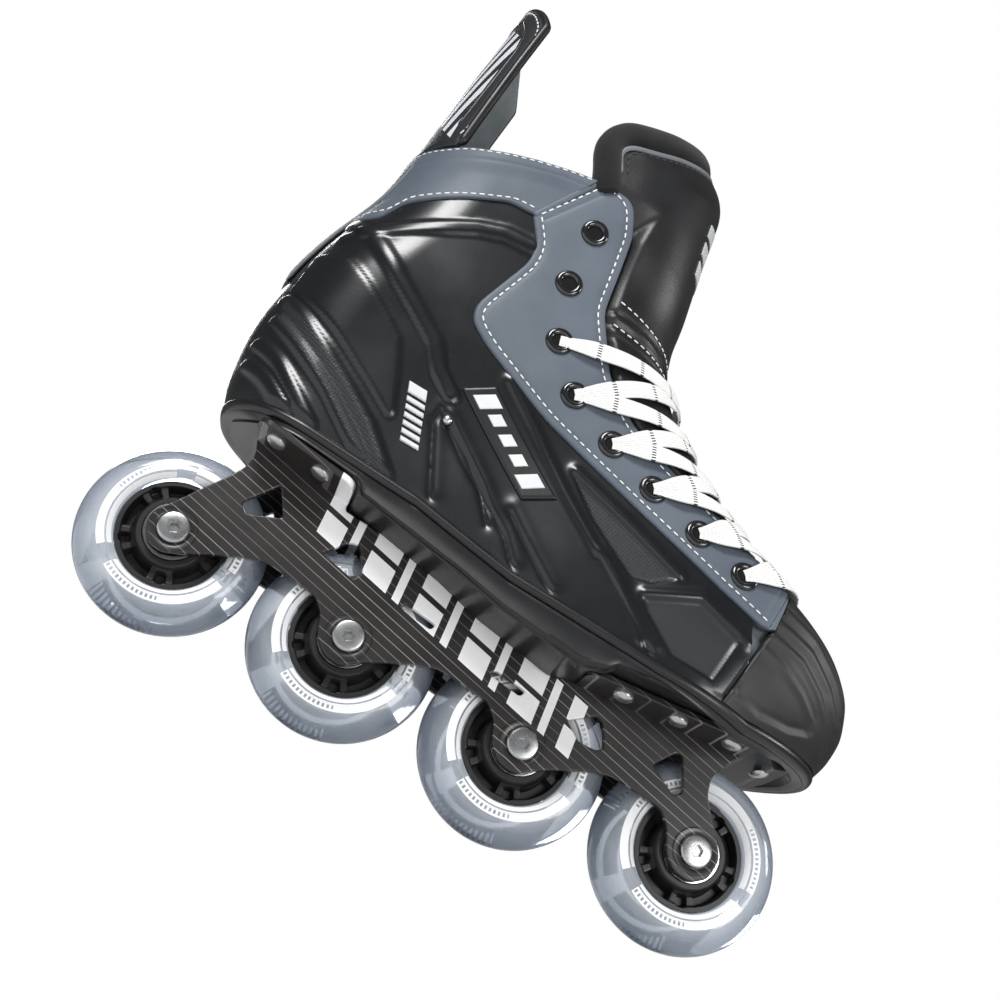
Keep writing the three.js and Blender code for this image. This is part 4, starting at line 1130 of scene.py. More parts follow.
REAR_PLATFORM: Line = ((-107, 85.6), (-64, 82.4))
FRONT_PLATFORM: Line = ((44, 69.6), (76, 74), (113, 79.6))
RAIL_WINDOWS: tuple[Line, ...] = (
    ((-97, 58.5), (-88.5, 72.3), (-81, 61.5), (-93.7, 55.1)),
    ((-62, 58), (-55, 67.8), (-51.8, 68.4), (-45.3, 60), (-47, 55.6)),
    ((-27, 55.8), (-25.5, 58.6), (-12, 57.6), (-13, 54.8)),
    ((14, 52.2), (15.5, 55), (29, 54), (28, 51.2)),
    ((47.4, 53.1), (57, 60.8), (60, 59.6), (64.5, 51), (62, 48.8), (54.8, 48.4)),
    ((83.4, 55.9), (89.6, 65), (92.2, 65), (98.1, 52.8), (95.5, 49.8)))


@dataclass(frozen=True)
class SkateFrame:
    """Two rails cut from plate, joined by a web and two mounting platforms, and riveted to the sole."""

    wheels: Wheels = Wheels()
    rail_inside: float = 12.8
    rail_outside: float = 15.6
    platform_half: float = 34.0
    platform_thickness: float = 2.6
    gap: float = 0.3

    def rail_outline(self) -> np.ndarray:
        """Edge of one rail, scalloped over each wheel."""
        z = self.wheels.axle_z
        front, *_, rear = self.wheels.axle_x
        corners = [(rear - 5.5, z + 9), (rear - 9.5, z + 3), (rear - 9.6, z - 3), (rear - 5, z - 9),
                   (rear + 1, z - 9.6)]
        for before, axle in zip(self.wheels.axle_x[:0:-1], self.wheels.axle_x[-2::-1]):
            corners += [(before + 9, z - 5.6), (before + 17, z - 0.5), (before + 26, z + 4.5),
                        (before + 34, z + 8.2), (axle - 18, z + 7), (axle - 13, z + 2), (axle - 9.5, z - 6),
                        (axle - 4, z - 10.5), (axle + 3, z - 11)]
        corners += [(front + 8.5, z - 6.5), (front + 9.5, z + 2), (front + 5, z + 9), (front, 50.5),
                    (front - 4.7, 57), (front - 6.4, 63.5), (front - 4.5, 68.5), (113, 79), (104, 77.6),
                    (100, 77), (-64, 77), (-64, 82), (-107, 85.2), (-103, 77), (-103.4, 71), (-107.5, 62.5),
                    (-112.5, 54)]
        return rounded_outline(tuple(corners), 1.3, 420)

    def platform(self, name: str, line: Line) -> bpy.types.Object:
        """A mounting plate with rounded corners and edges.

        Args:
            name: the piece's name.
            line: its top, as (x, z) places.

        Returns:
            The linked object.
        """
        x = np.linspace(line[0][0], line[-1][0], 60)
        ends = np.minimum(x - x[0], x[-1] - x)
        half = self.platform_half - 5 * (1 - np.sqrt(1 - (1 - np.clip(ends / 5, 0, 1)) ** 2))
        top = table_at(line, x) - self.gap
        lift = 0.5 * self.platform_thickness
        section = np.array([(-1, -0.6), (-0.985, -1), (0.985, -1), (1, -0.6), (1, 0.6), (0.985, 1),
                            (-0.985, 1), (-1, 0.6)])
        rings = np.stack([np.broadcast_to(x[:, None], (60, 8)), half[:, None] * section[:, 0],
                          top[:, None] - lift + lift * section[:, 1]], axis=-1)
        return capped_tube(name, rings, None, 40)

    def rivets(self, finishes: Finishes) -> None:
        """Domed rivet heads under the platforms."""
        rows = [("front", FRONT_PLATFORM, (("front", 60.0), ("middle", 82.0), ("rear", 104.0))),
                ("rear", REAR_PLATFORM, (("front", -78.0), ("rear", -98.0)))]
        profile = dome(4.1, 2.1, 0.25, ((4.1, 0), (2, 0), (2, -3), (0, -3)))
        for end, line, places in rows:
            slope = np.array([line[-1][0] - line[0][0], 0, line[-1][1] - line[0][1]])
            down = unit(np.cross([0.0, 1.0, 0.0], slope))
            down = down if down[2] < 0 else -down
            for place, x in places:
                for side, y in (("lateral", -26.0), ("medial", 26.0)):
                    z = float(table_at(line, np.array(x))) - self.gap - self.platform_thickness
                    name = f"rivet_{end}_platform_{place}_{side}"
                    rivet = lathe_object(name + "_look", profile, 40, np.array([x, y, z]), down)
                    placed(rivet, "boot", "zinc_steel", finishes.zinc, name)

    def build(self, finishes: Finishes) -> None:
        """Makes the frame and its rivets."""
        windows = [rounded_outline(window, 0.8, 60) for window in RAIL_WINDOWS]
        outlines = [self.rail_outline()] + windows
        spans = ((-self.rail_outside, -self.rail_inside), (self.rail_inside, self.rail_outside))
        rails = [plate_object("rail", outlines, low, high, 0.5) for low, high in spans]
        bosses = []
        ring = np.array([(6.5, 15.2), (8.9, 15.2), (8.9, 15.75), (8.5, 16.1), (7.0, 16.1), (6.5, 15.8)])
        for x in self.wheels.axle_x:
            for turn in (-1, 1):
                centre = np.array([x, 0, self.wheels.axle_z])
                bosses.append(lathe_object("boss", ring * (1, turn), 64, centre))
        web = np.array([(-66.0, 74.6), (101.0, 74.6), (101.0, 76.9), (-66.0, 76.9)])
        plates = [plate_object("web", [web], -13.2, 13.2, 0.3), self.platform("platform", REAR_PLATFORM),
                  self.platform("platform", FRONT_PLATFORM)]
        frame_look = joined("frame_look", rails + bosses + plates)
        placed(frame_look, "boot", "frame_coat", finishes.frame, "frame")
        self.rivets(finishes)


# --------------------------------------------------------------------------- sole


@dataclass(frozen=True)
class Outsole:
    """Moulded sole: a flank all round, a bead at the welt and a belly that skirts the rails."""

    flank: float = 0.9
    bead: float = 2.4
    bead_height: float = 4.2
    underside: Line = ((-170, 90), (-128, 88), (-113, 86), (-107, 85.6), (-64, 82.4), (-62, 78.6),
                       (-20, 72.2), (0, 67.7), (33, 63.6), (43, 67), (46, 69.9), (76, 74), (113, 79.6),
                       (124, 78), (138, 86),
                       (170, 100))
    columns: int = 460

    def girths(self) -> np.ndarray:
        """Signed girths all the way round, from the front centre over the heel and back."""
        reach = float(FORM.length(np.array(85.0)))
        return np.linspace(-reach, reach, self.columns, endpoint=False) + reach / self.columns

    def tuck(self, x: np.ndarray) -> np.ndarray:
        """How far the flank's foot draws in at the heel and the toe."""
        return 6.5 * smoothstep(-98, -122, x) + 4.0 * smoothstep(112, 128, x)

    def wall(self) -> bpy.types.Object:
        """Flank and bead as one closed ring."""
        q = self.girths()
        x = FORM.point(q, np.full(q.shape, 82.0))[:, 0]
        top = table_at(WELT_LINE, x)
        low = np.minimum(table_at(self.underside, x) + 0.1, top - self.bead_height - 2.5)
        round_up = np.linspace(-90, 90, 11) * math.pi / 180
        tuck = self.tuck(x)
        rows = [(low, -6.5), (low, -0.9 - tuck), (low + 0.5, 0.2 - tuck * 0.93)]
        for share in np.linspace(0.12, 0.96, 9):
            rows.append((low + (top - self.bead_height - low) * share,
                         self.flank - 0.5 * math.sin(share * 3) - tuck * (1 - share) ** 1.6))
        for angle in round_up:
            bead = self.bead - 1.4 * smoothstep(-98, -120, x)
            swell = self.flank - 0.35 + (bead - self.flank + 0.35) * math.cos(angle)
            rows.append((top - self.bead_height * (0.5 - 0.5 * math.sin(angle)), swell))
        rows += [(top, -2.0), (top - 1, -5.0)]
        grid = np.stack([FORM.raised(q, z, offset) for z, offset in rows])
        return torus_object("sole_wall", grid)

    def bottom(self) -> bpy.types.Object:
        """Underside between the flanks, stepped up over the rails."""
        x = np.unique(np.concatenate([np.linspace(-119, 132, 190), [-64.2, -63.8, 101.6, 102.2]]))
        tuck = self.tuck(x)
        rows = []
        under = table_at(self.underside, x)
        lateral, medial = (FORM.on_side(x, np.clip(under, 70, 88), side, 0.0)[:, 1] for side in Side)
        inner = np.interp(x, (-119, -109), (2.0, 16.0))
        shares = np.array([-1.0, -0.97, -0.9, -0.75, -0.6, -0.5])
        reach_l = np.minimum(lateral + 1.2 + tuck, -inner - 1)
        reach_m = np.maximum(medial - 1.2 - tuck, inner + 1)
        ys = [reach_l * -share + (-inner) * (1 + share) for share in shares]
        ys += [-inner - 0.2, 0.1 - inner, inner - 0.1, inner + 0.2]
        ys += [reach_m * -share + inner * (1 + share) for share in shares[::-1]]
        over_rail = (x > -64) & (x < 102)
        for k, y in enumerate(ys):
            channel = (np.abs(y) < 16.05) & over_rail
            edge = 1.3 if k in (0, len(ys) - 1) else 0.0
            z = np.where(channel, np.maximum(under, 77.2), under + edge)
            rows.append(np.stack([x, y, z], axis=-1))
        outer = np.stack(rows)
        inner_grid = outer.copy()
        inner_grid[..., 2] = np.maximum(outer[..., 2] + 2, table_at(WELT_LINE, x)[None, :] - 1.5)
        return shell_object("sole_bottom", outer, inner_grid)

    def build(self, finishes: Finishes) -> None:
        """Makes the outsole and the toe rivet under it."""
        sole = joined("outsole_look", [self.wall(), self.bottom()])
        placed(sole, "boot", "sole_moulding", finishes.sole, "outsole")
        profile = dome(4.2, 1.9, 0.3, ((4.2, 0), (2, 0), (0, 0)))
        rivet = lathe_object("toe_rivet", profile, 40, np.array([123.0, -8.0, 78.6]),
                             np.array([0.5, 0.0, -0.87]))
        placed(rivet, "boot", "zinc_steel", finishes.zinc)


# --------------------------------------------------------------------------- stage


@dataclass(frozen=True)
class Studio:
    """Pale floor, even studio light and the camera, which looks up from below the floor's level."""

    azimuth: float = -1.08
    elevation: float = -25.0
    roll: float = 31.47
    distance: float = 589.0
    lens: float = 53.3
    aim: tuple[float, float, float] = (-15.8, 0.0, 121.9)
    floor_reach: float = 8.0
    floor_depth: float = -0.0006
    dim_world: float = 0.10

    def camera(self) -> None:
        """Places the camera at its viewing angle."""
        turn, lift, roll = (math.radians(v) for v in (self.azimuth, self.elevation, self.roll))
        flat = math.cos(lift)
        back = np.array([math.sin(turn) * flat, -math.cos(turn) * flat, math.sin(lift)])
        right = unit(np.cross([0, 0, 1.0], back))
        up = np.cross(back, right)
        rolled_right = math.cos(roll) * right + math.sin(roll) * up
        rolled_up = -math.sin(roll) * right + math.cos(roll) * up
        place = (np.array(self.aim) + back * self.distance) * MM
        data = bpy.data.cameras.new("camera")
        data.lens, data.sensor_width = self.lens, 36.0
        data.clip_start, data.clip_end = 0.01, 20.0
        thing = linked("camera", data)
        matrix = np.eye(4)
        matrix[:3, 0], matrix[:3, 1], matrix[:3, 2], matrix[:3, 3] = rolled_right, rolled_up, back, place
        thing.matrix_world = Matrix(matrix.tolist())
        bpy.context.scene.camera = thing

    def light(self, name: str, place: tuple, aim: tuple, size: float, watts: float) -> None:
        """One square area light, places in metres."""
        data = bpy.data.lights.new(name, "AREA")
        data.size, data.energy = size, watts
        thing = linked(name, data)
        thing.location = place
        thing.rotation_mode = "QUATERNION"
        thing.rotation_quaternion = (Vector(aim) - Vector(place)).to_track_quat("-Z", "Y")

    def floor(self) -> None:
        """A pale floor whose underside lets the low camera see through."""
        mesh = bpy.data.meshes.new("floor")
        reach, depth = self.floor_reach, self.floor_depth
        corners = [(x * reach, y * reach, depth) for x, y in ((-1, -1), (1, -1), (1, 1), (-1, 1))]
        mesh.from_pydata(corners, [], [(0, 1, 2, 3)])
        thing = linked("floor", mesh)
        shader = Shader("floor")
        shader.look((0.86, 0.86, 0.86), 0.8)
        behind = shader.node("ShaderNodeNewGeometry").outputs["Backfacing"]
        shader.cover(behind, shader.node("ShaderNodeBsdfTransparent"))
        mesh.materials.append(shader.material)

    def build(self) -> None:
        """Builds the studio."""
        world = bpy.data.worlds.new("studio")
        world.use_nodes = True
        tree = world.node_tree
        background = tree.nodes["Background"]
        background.inputs[0].default_value = (1, 1, 1, 1)
        path = tree.nodes.new("ShaderNodeLightPath")
        strength = tree.nodes.new("ShaderNodeMapRange")
        strength.inputs["To Min"].default_value = self.dim_world
        strength.inputs["To Max"].default_value = 1.0
        direct = tree.nodes.new("ShaderNodeMath")
        direct.operation = "MAXIMUM"
        tree.links.new(path.outputs["Is Camera Ray"], direct.inputs[0])
        tree.links.new(path.outputs["Is Transmission Ray"], direct.inputs[1])
        tree.links.new(direct.outputs[0], strength.inputs["Value"])
        tree.links.new(strength.outputs[0], background.inputs[1])
        bpy.context.scene.world = world
        self.camera()
        self.light("key", (-0.7, -1.0, 1.1), (0, 0, 0.15), 0.55, 22)
        self.light("low", (0.7, -1.15, 0.2), (0, 0, 0.1), 0.5, 7)
        self.light("front", (1.3, -0.3, 0.9), (0, 0, 0.15), 0.4, 6)
        self.light("back", (-0.6, 1.2, 0.9), (0, 0, 0.15), 0.6, 12)
        self.floor()
        bpy.context.scene.view_settings.view_transform = "Standard"


# --------------------------------------------------------------------------- boot lines

EYELET_ROW: Line = ((-40, 226), (-38, 200), (-29, 175), (-13, 158), (9, 148), (31, 140), (54, 133), (76, 127))
COLLAR_TOP: Line = ((-150, 229), (-108, 232), (-91, 236), (-75, 242), (-59, 246.5), (-44, 248.5), (-30, 247))
COLLAR_LOW: Line = ((-135, 179), (-116, 186), (-111, 197), (-98, 205), (-76, 218), (-65, 219))
QUARTER_TOP: Line = ((-140, 192), (-116, 194), (-98, 212), (-76, 224), (-60, 224), (-53, 221), (-50, 178),
                     (-45, 166), (-18, 151), (13, 142), (37, 135), (60, 128), (88, 121), (97, 119))
FACING: Line = ((-26, 234), (-23, 217), (-20, 198), (-5, 174), (12, 161), (35, 152), (60, 146), (80, 143))
EYESTAY_UPPER: Line = ((-48, 249.8), (-38, 249.6), (-32, 246)) + FACING + ((91, 141), (96, 137))
EYESTAY_LOWER: Line = ((-64.5, 218), (-57, 208), (-56, 199), (-64, 170), (-62, 163), (-52, 157), (-18, 143),
                       (13, 134), (37, 127), (56, 121.5), (71, 117), (91, 112.5), (95, 115))
TONGUE_EDGE: Line = ((139, 96), (141, 92), (143, 74), (146, 52), (152, 27), (161, 4), (174, -13), (198, -29),
                     (217, -33), (234, -40), (248, -50), (270, -57.5), (290, -57), (306, -49), (318, -37),
                     (327, -22))


def ruled(lower: np.ndarray, upper: np.ndarray, shares: np.ndarray) -> tuple[np.ndarray, np.ndarray]:
    """Side-view places of a patch ruled between two lines of equal count.

    Args:
        lower: (x, z) points.
        upper: (x, z) points.
        shares: how far across each row lies.

    Returns:
        x and z, both with shape (rows, points).
    """
    t = shares[:, None, None]
    both = lower[None] * (1 - t) + upper[None] * t
    return both[..., 0], both[..., 1]


def eased(count: int) -> np.ndarray:
    """Shares from 0 to 1 that crowd towards both ends."""
    return 0.5 - 0.5 * np.cos(np.linspace(0, math.pi, count))


def rolled_edge(depth: np.ndarray, radius: float) -> np.ndarray:
    """0 at an edge rising to 1 at one radius inside it, as a quarter circle."""
    return np.sqrt(np.clip(1 - (1 - np.clip(depth / radius, 0, 1)) ** 2, 0, 1))


def mirrored(half: np.ndarray, sign: float = 1.0) -> np.ndarray:
    """A grid with its mirror image before it; sign is -1 for girths."""
    return np.hstack([sign * half[:, :0:-1], half])


def closed_in_girth(line: np.ndarray) -> np.ndarray:
    """Side-view points as (girth, height)."""
    return np.stack([FORM.girth(line[:, 0], line[:, 1]), line[:, 1]], axis=1)


def stitches(name: str, runs: list[np.ndarray], length: float = 2.3, pitch: float = 3.5,
             width: float = 0.75) -> bpy.types.Object:
    """Short raised threads along lines.

    Args:
        name: the piece's name.
        runs: lines of points with their outward normals, each with shape (n, 6).
        length: length of one thread.
        pitch: distance from one thread to the next.
        width: thread width.

    Returns:
        One object with every thread.
    """
    station = np.array([-0.5, -0.4, 0.0, 0.4, 0.5])
    swell = np.array([0.25, 0.85, 1.0, 0.85, 0.25])
    angle = np.arange(6) * math.pi / 3
    points, quads = [], []
    total = 0
    for run in runs:
        steps = travelled(run[:, :3])
        middles = np.arange(pitch / 2, steps[-1] - pitch / 2, pitch)
        if not len(middles):
            continue

        def at(where: np.ndarray) -> np.ndarray:
            """Points and normals at the given distances along this line."""
            return follow(where, steps, run)

        centre = at(middles)
        ahead = unit(at(middles + 0.3)[:, :3] - at(middles - 0.3)[:, :3])
        out = unit(centre[:, 3:])
        side = np.cross(ahead, out)
        ring = (side[:, None, None] * np.cos(angle)[None, None, :, None]
                + out[:, None, None] * np.sin(angle)[None, None, :, None] * 0.8)
        body = (centre[:, None, None, :3] + ahead[:, None, None] * (station * length)[None, :, None, None]
                + ring * (swell * width / 2)[None, :, None, None])
        count = len(middles)
        points.append(body.reshape(-1, 3))
        base = total + np.arange(count)[:, None, None] * 30
        i, j = np.arange(4)[None, :, None] * 6, np.arange(6)[None, None, :]
        after = (np.arange(6)[None, None, :] + 1) % 6
        quads.append(np.stack(np.broadcast_arrays(base + i + j, base + i + after, base + i + 6 + after,
                                                  base + i + 6 + j), axis=-1).reshape(-1, 4))
        for start, turn in ((0, -1), (24, 1)):
            for corners in ((0, 1, 2, 3), (3, 4, 5, 0)):
                order = corners[::turn]
                quads.append(np.stack([base[:, 0, 0] + start + c for c in order], axis=-1))
        total += count * 30
    faces = np.vstack(quads)
    return new_object(name, np.vstack(points), faces, None, 80)


def skin_line(line: Line | np.ndarray, side: Side, offset: float, rounding: float = 2.0,
              count: int = 160) -> np.ndarray:
    """A side-view line laid on one side of the boot, as points and normals."""
    flat = resample(line, count, rounding)
    return FORM.run(side.value * FORM.girth(flat[:, 0], flat[:, 1]), flat[:, 1], offset)


def shifted(line: Line | np.ndarray, distance: float, count: int = 160, rounding: float = 2.0) -> np.ndarray:
    """A side-view line moved to the left of its own direction."""
    flat = resample(line, count, rounding)
    along = unit(np.gradient(flat, axis=0))
    return flat + np.stack([-along[:, 1], along[:, 0]], axis=1) * distance


def tube_along(name: str, run: np.ndarray, radius: float, squash: float = 1.0,
               around: int = 12) -> bpy.types.Object:
    """A round piping with tapered ends.

    Args:
        name: the piece's name.
        run: points and outward normals, shape (n, 6).
        radius: half its width across.
        squash: its height over its width.
        around: points round the section.

    Returns:
        The linked object.
    """
    points, out = run[:, :3], unit(run[:, 3:])
    ahead = unit(np.gradient(points, axis=0))
    across = unit(np.cross(ahead, out))
    angle = np.linspace(0, 2 * math.pi, around, endpoint=False)
    section = np.c_[np.cos(angle), np.sin(angle) * squash] * radius
    ends = np.minimum(np.arange(len(points)), np.arange(len(points))[::-1])
    rings = sweep(points, across, out, section, np.clip(0.35 + ends * 0.25, 0, 1))
    return capped_tube(name, rings)


# --------------------------------------------------------------------------- moulded quarter


@dataclass(frozen=True)
class Quarter:
    """The moulded side and heel of the boot, with its panels, ribs, creases, bars and badge."""

    ribs: tuple[Line, ...] = (
        ((-58, 206.5), (-70, 205), (-80, 200.5), (-96, 189.5), (-109, 180.5), (-122, 172)),
        ((-124, 183), (-113, 175), (-94, 162), (-82, 155), (-69, 147), (-62, 138), (-53, 132)),
        ((-127, 136), (-110, 125), (-88, 113), (-73, 104), (-57, 90)),
        ((-125, 126), (-108, 116), (-92, 107), (-79, 98), (-70, 92)),
        ((-126, 115), (-115, 109), (-104, 101), (-91, 92)),
        ((-125, 106), (-115, 101), (-102, 92)))
    panel: Line = ((-128, 161), (-115, 161), (-104, 155), (-88, 146), (-81, 141), (-75, 130), (-67, 113),
                   (-69, 111), (-83, 119), (-102, 129), (-128, 141))
    creases: tuple[Line, ...] = (
        ((-53, 124), (-53, 118), (-39, 91)), ((-49, 121), (-36, 111), (-25, 104), (-16, 93)),
        ((-49, 122), (-34, 112), (-18, 99), (-8, 92), (0, 83)), ((-11, 102), (2, 92), (16, 82)),
        ((26, 103), (40, 93), (58, 80)))
    ridges: tuple[Line, ...] = (
        ((-37, 150), (-20, 138), (3, 120), (20, 108), (35, 98), (53, 83)),
        ((2, 131), (28, 123), (54, 114)), ((46, 100), (66, 111), (88, 104)))
    mesh_recess: Line = ((2, 129), (30, 120.5), (54, 112), (46, 105), (39, 103), (32, 107), (16, 117))
    forefoot_recess: Line = ((47, 98), (66, 108.5), (84, 103), (81.5, 84), (65, 84), (50, 94))
    columns: int = 500
    rows: int = 86

    def relief(self, x: np.ndarray, z: np.ndarray) -> np.ndarray:
        """Height of the moulding over the plain skin.

        Ribs are rounded bands, creases are narrow V grooves, ridges are soft folds, the heel panel is
        raised with a crisp step and the two recesses are sunk.

        Args:
            x: places along the skate.
            z: heights.

        Returns:
            Heights of the moulding, in the shape of x.
        """
        height = np.zeros(np.shape(x))
        for k, rib in enumerate(self.ribs):
            width = 3.2 if k < 2 else 2.8
            height += 1.15 * np.exp(-(distance_to(rib, x, z) / width) ** 6)
        height += 1.1 * smoothstep(-0.8, 0.8, depth_inside(self.panel, x, z))
        for crease in self.creases:
            height -= 1.1 * np.exp(-distance_to(crease, x, z) / 1.2)
            height += 0.5 * np.exp(-(distance_to(crease, x, z - 3.5) / 3.0) ** 2)
        for ridge in self.ridges:
            height += 1.1 * np.exp(-(distance_to(ridge, x, z) / 2.3) ** 2)
        height -= 1.1 * smoothstep(-0.8, 0.8, depth_inside(self.mesh_recess, x, z))
        height -= 1.0 * smoothstep(-0.8, 0.8, depth_inside(self.forefoot_recess, x, z))
        seam = distance_to(TOE_SEAM_SIDE, x, z)
        height += 0.5 * smoothstep(9, 2.5, seam) - 0.4 * smoothstep(1.2, 0.2, seam)
        top = np.maximum(z - table_at(WELT_LINE, x), 0)
        return np.clip(height, -1.6, 2.0) * smoothstep(0.0, 3.0, top)

    def masks(self, x: np.ndarray, z: np.ndarray) -> np.ndarray:
        """Matte share and dimple share at each place, as UVs."""
        areas = (self.mesh_recess, self.forefoot_recess, self.ribs[2] + self.ribs[3][::-1])
        mesh, forefoot, band = (smoothstep(-0.5, 0.8, depth_inside(area, x, z)) for area in areas)
        dimples = np.maximum(band, mesh)
        return np.stack([np.maximum(dimples, forefoot), dimples], axis=-1)

    def edges(self, q: np.ndarray) -> tuple[np.ndarray, np.ndarray]:
        """Lowest and highest z of each column."""
        x = FORM.point(q, np.full(q.shape, 86.0))[:, 0]
        low = table_at(WELT_LINE, x) + 0.2
        bottom, top = np.full(q.shape, 100.0), np.full(q.shape, 232.0)
        for _ in range(26):
            middle = (bottom + top) / 2
            under = middle < table_at(QUARTER_TOP, FORM.point(q, middle)[:, 0])
            bottom, top = np.where(under, middle, bottom), np.where(under, top, middle)
        return low, bottom

    def shell(self) -> bpy.types.Object:
        """The moulded wall from the toe seam on one side round the heel to the other."""
        reach = FORM.girth(np.array(90.5), np.array(100.0))
        q = np.linspace(-float(reach), float(reach), self.columns)
        low, high = self.edges(q)
        t = np.linspace(0, 1, self.rows)[:, None]
        z = low + (high - low) * t
        seam = table_at(TOE_SEAM, z)
        limit = FORM.girth(seam - 0.2, z)
        q = np.sign(q) * np.minimum(np.abs(q), limit)
        x = FORM.point(q, z)[..., 0]
        outer = FORM.raised(q, z, self.relief(x, z) - 0.05)
        inner = FORM.raised(q, z, -SHELL_WALL)
        return shell_object("quarter_shell_look", outer, inner, self.masks(x, z), False, 50)

    def panel_piece(self, name: str, outline: Line, side: Side, low: float, high: float,
                    roll: float = 0.7) -> bpy.types.Object:
        """A thin raised tile with rolled edges.

        Args:
            name: the piece's name.
            outline: its four side-view corners.
            side: the side of the boot.
            low: height of its edge over the moulding.
            high: height of its face over the moulding.
            roll: radius of its edges.

        Returns:
            The linked object.
        """
        a, b, c, d = (np.array(corner, float) for corner in outline)
        s, t = eased(40)[None, :, None], eased(24)[:, None, None]
        flat = (a * (1 - s) + b * s) * (1 - t) + (d * (1 - s) + c * s) * t
        x, z = flat[..., 0], flat[..., 1]
        raise_by = low + (high - low) * rolled_edge(depth_inside(outline, x, z), roll)
        surface = self.relief(x, z)
        q = side.value * FORM.girth(x, z)
        return shell_object(name, FORM.raised(q, z, surface + raise_by), FORM.raised(q, z, surface - 0.5))

    def details(self, side: Side, finishes: Finishes) -> None:
        """Pale bars, badge and stud on one side.

        Args:
            side: the side of the boot.
            finishes: the materials.
        """
        tag = side.name.lower()
        bars = []
        for k in range(7):
            low = 105.0 + 3.1 * k
            lean = -10.5 * (low - 104) / 26
            left, right = -59.5 + lean, -51.5 + lean
            height = 1.9 if k < 6 else 4.4
            shift = -0.4 * height
            outline = ((left, low), (right, low), (right + shift, low + height), (left + shift, low + height))
            bars.append(self.panel_piece("bar", outline, side, 0.0, 0.8, 0.5))
        placed(joined(f"pale_bars_{tag}", bars), "boot", "", finishes.pale)
        frame_part = self.panel_piece(f"badge_{tag}", ((-51, 136.5), (-10, 108.5), (1.5, 116), (-40, 144.5)),
                                      side, 0.0, 1.1, 1.0)
        placed(frame_part, "boot", "sole_moulding", finishes.sole)
        tiles = []
        along, up = np.array([40.5, -28.0]), np.array([10.5, 7.4])
        base = np.array([-50.5, 136.8]) + up * 0.15
        for k in range(5):
            span, height, lift = (0.13, 0.7, 0.0) if k in (0, 4) else (0.11, 0.42, 0.14)
            p = base + along * (0.07 + 0.18 * k) + up * lift
            r = p + along * span
            outline = tuple(map(tuple, (p, r, r + up * height, p + up * height)))
            tiles.append(self.panel_piece("tile", outline, side, 0.9, 1.45, 0.4))
        placed(joined(f"badge_marks_{tag}", tiles), "boot", "", finishes.pale)
        height = np.array([122.0])
        at = FORM.run(side.value * FORM.girth(np.array([-49.0]), height), height, 0.3)[0]
        head = np.array([(0.0, 1.3), (0.9, 1.2), (1.6, 0.8), (1.9, 0.2), (1.9, -0.6), (0.0, -0.6)])
        placed(lathe_object(f"stud_{tag}", head, 24, at[:3], at[3:]), "boot", "zinc_steel", finishes.zinc)

    def build(self, finishes: Finishes) -> None:
        """Makes the quarter and what is on it."""
        placed(self.shell(), "boot", "shell_moulding", finishes.shell, "quarter_shell")
        for side in Side:
            self.details(side, finishes)


TOE_SEAM_SIDE: Line = tuple((x, z) for z, x in TOE_SEAM)


@dataclass(frozen=True)
class ToeCap:
    """Moulded toe cap with arched ridges, from the welt to the end of the throat."""

    arcs: tuple[Line, ...] = (
        ((92, 84), (104, 83), (118, 87), (128, 92.5), (126, 97), (117, 101), (105, 104), (92, 106)),
        ((95, 112.5), (111, 112), (124, 107), (132, 102), (138, 95)),
        ((95, 119), (113, 118.5), (128, 112.5), (138, 105)),
        ((96, 125.5), (114, 125), (129, 118.5), (139, 112)))
    rows: int = 96
    columns: int = 220

    def surface(self, t: np.ndarray, u: np.ndarray) -> tuple[np.ndarray, np.ndarray]:
        """Places of the cap's grid.

        Args:
            t: height shares, 0 at the welt and 1 at the top.
            u: side shares, -1 at the lateral seam and 1 at the medial seam.

        Returns:
            Girths and heights.
        """
        z_top = 143.0
        profile = np.stack([FORM.instep(np.linspace(84, z_top, 300)), np.linspace(84, z_top, 300)], axis=1)
        even = resample(profile, 400)[:, 1]
        share = (even - even[0]) / (even[-1] - even[0])
        rise = np.interp(t, np.linspace(0, 1, 400), share)
        z = 86 + (z_top - 86) * rise
        for _ in range(3):
            front = FORM.length(z)
            seam = FORM.girth(np.minimum(table_at(TOE_SEAM, z) + 0.2, FORM.instep(z)), z)
            q = front - (front - seam) * np.abs(u)
            x = FORM.point(q * np.where(u < 0, -1, 1), z)[..., 0]
            low = table_at(WELT_LINE, x) + 0.2
            z = low + (z_top - low) * rise
        return np.where(u < 0, -q, q), z

    def relief(self, x: np.ndarray, z: np.ndarray) -> np.ndarray:
        """Raised cap with rounded ridges and a lowered face inside the first arc."""
        height = np.full(np.shape(x), 0.7)
        for k, arc in enumerate(self.arcs):
            height += (0.55 if k else 0.4) * np.exp(-(distance_to(arc, x, z) / 1.5) ** 2)
            height -= 0.35 * np.exp(-(distance_to(arc, x, z - 2.6) / 1.0) ** 2)
        height -= 0.5 * smoothstep(-1, 1, depth_inside(self.arcs[0], x, z))
        return height

    def build(self, finishes: Finishes) -> None:
        """Makes the toe cap."""
        t, u = np.meshgrid(np.linspace(0, 1, self.rows), np.linspace(-1, 1, self.columns), indexing="ij")
        q, z = self.surface(t, u)
        x = FORM.point(q, z)[..., 0]
        edge = np.minimum((1 - np.abs(u)) * 95, (1 - t) * 80)
        outer = FORM.raised(q, z, -0.6 + (0.6 + self.relief(x, z)) * rolled_edge(edge, 1.6))
        inner = FORM.raised(q, z, -SHELL_WALL)
        cap = shell_object("toe_cap_look", outer, inner, None, False, 50)
        placed(cap, "boot", "toe_moulding", finishes.matte, "toe_cap")


# --------------------------------------------------------------------------- leather pieces


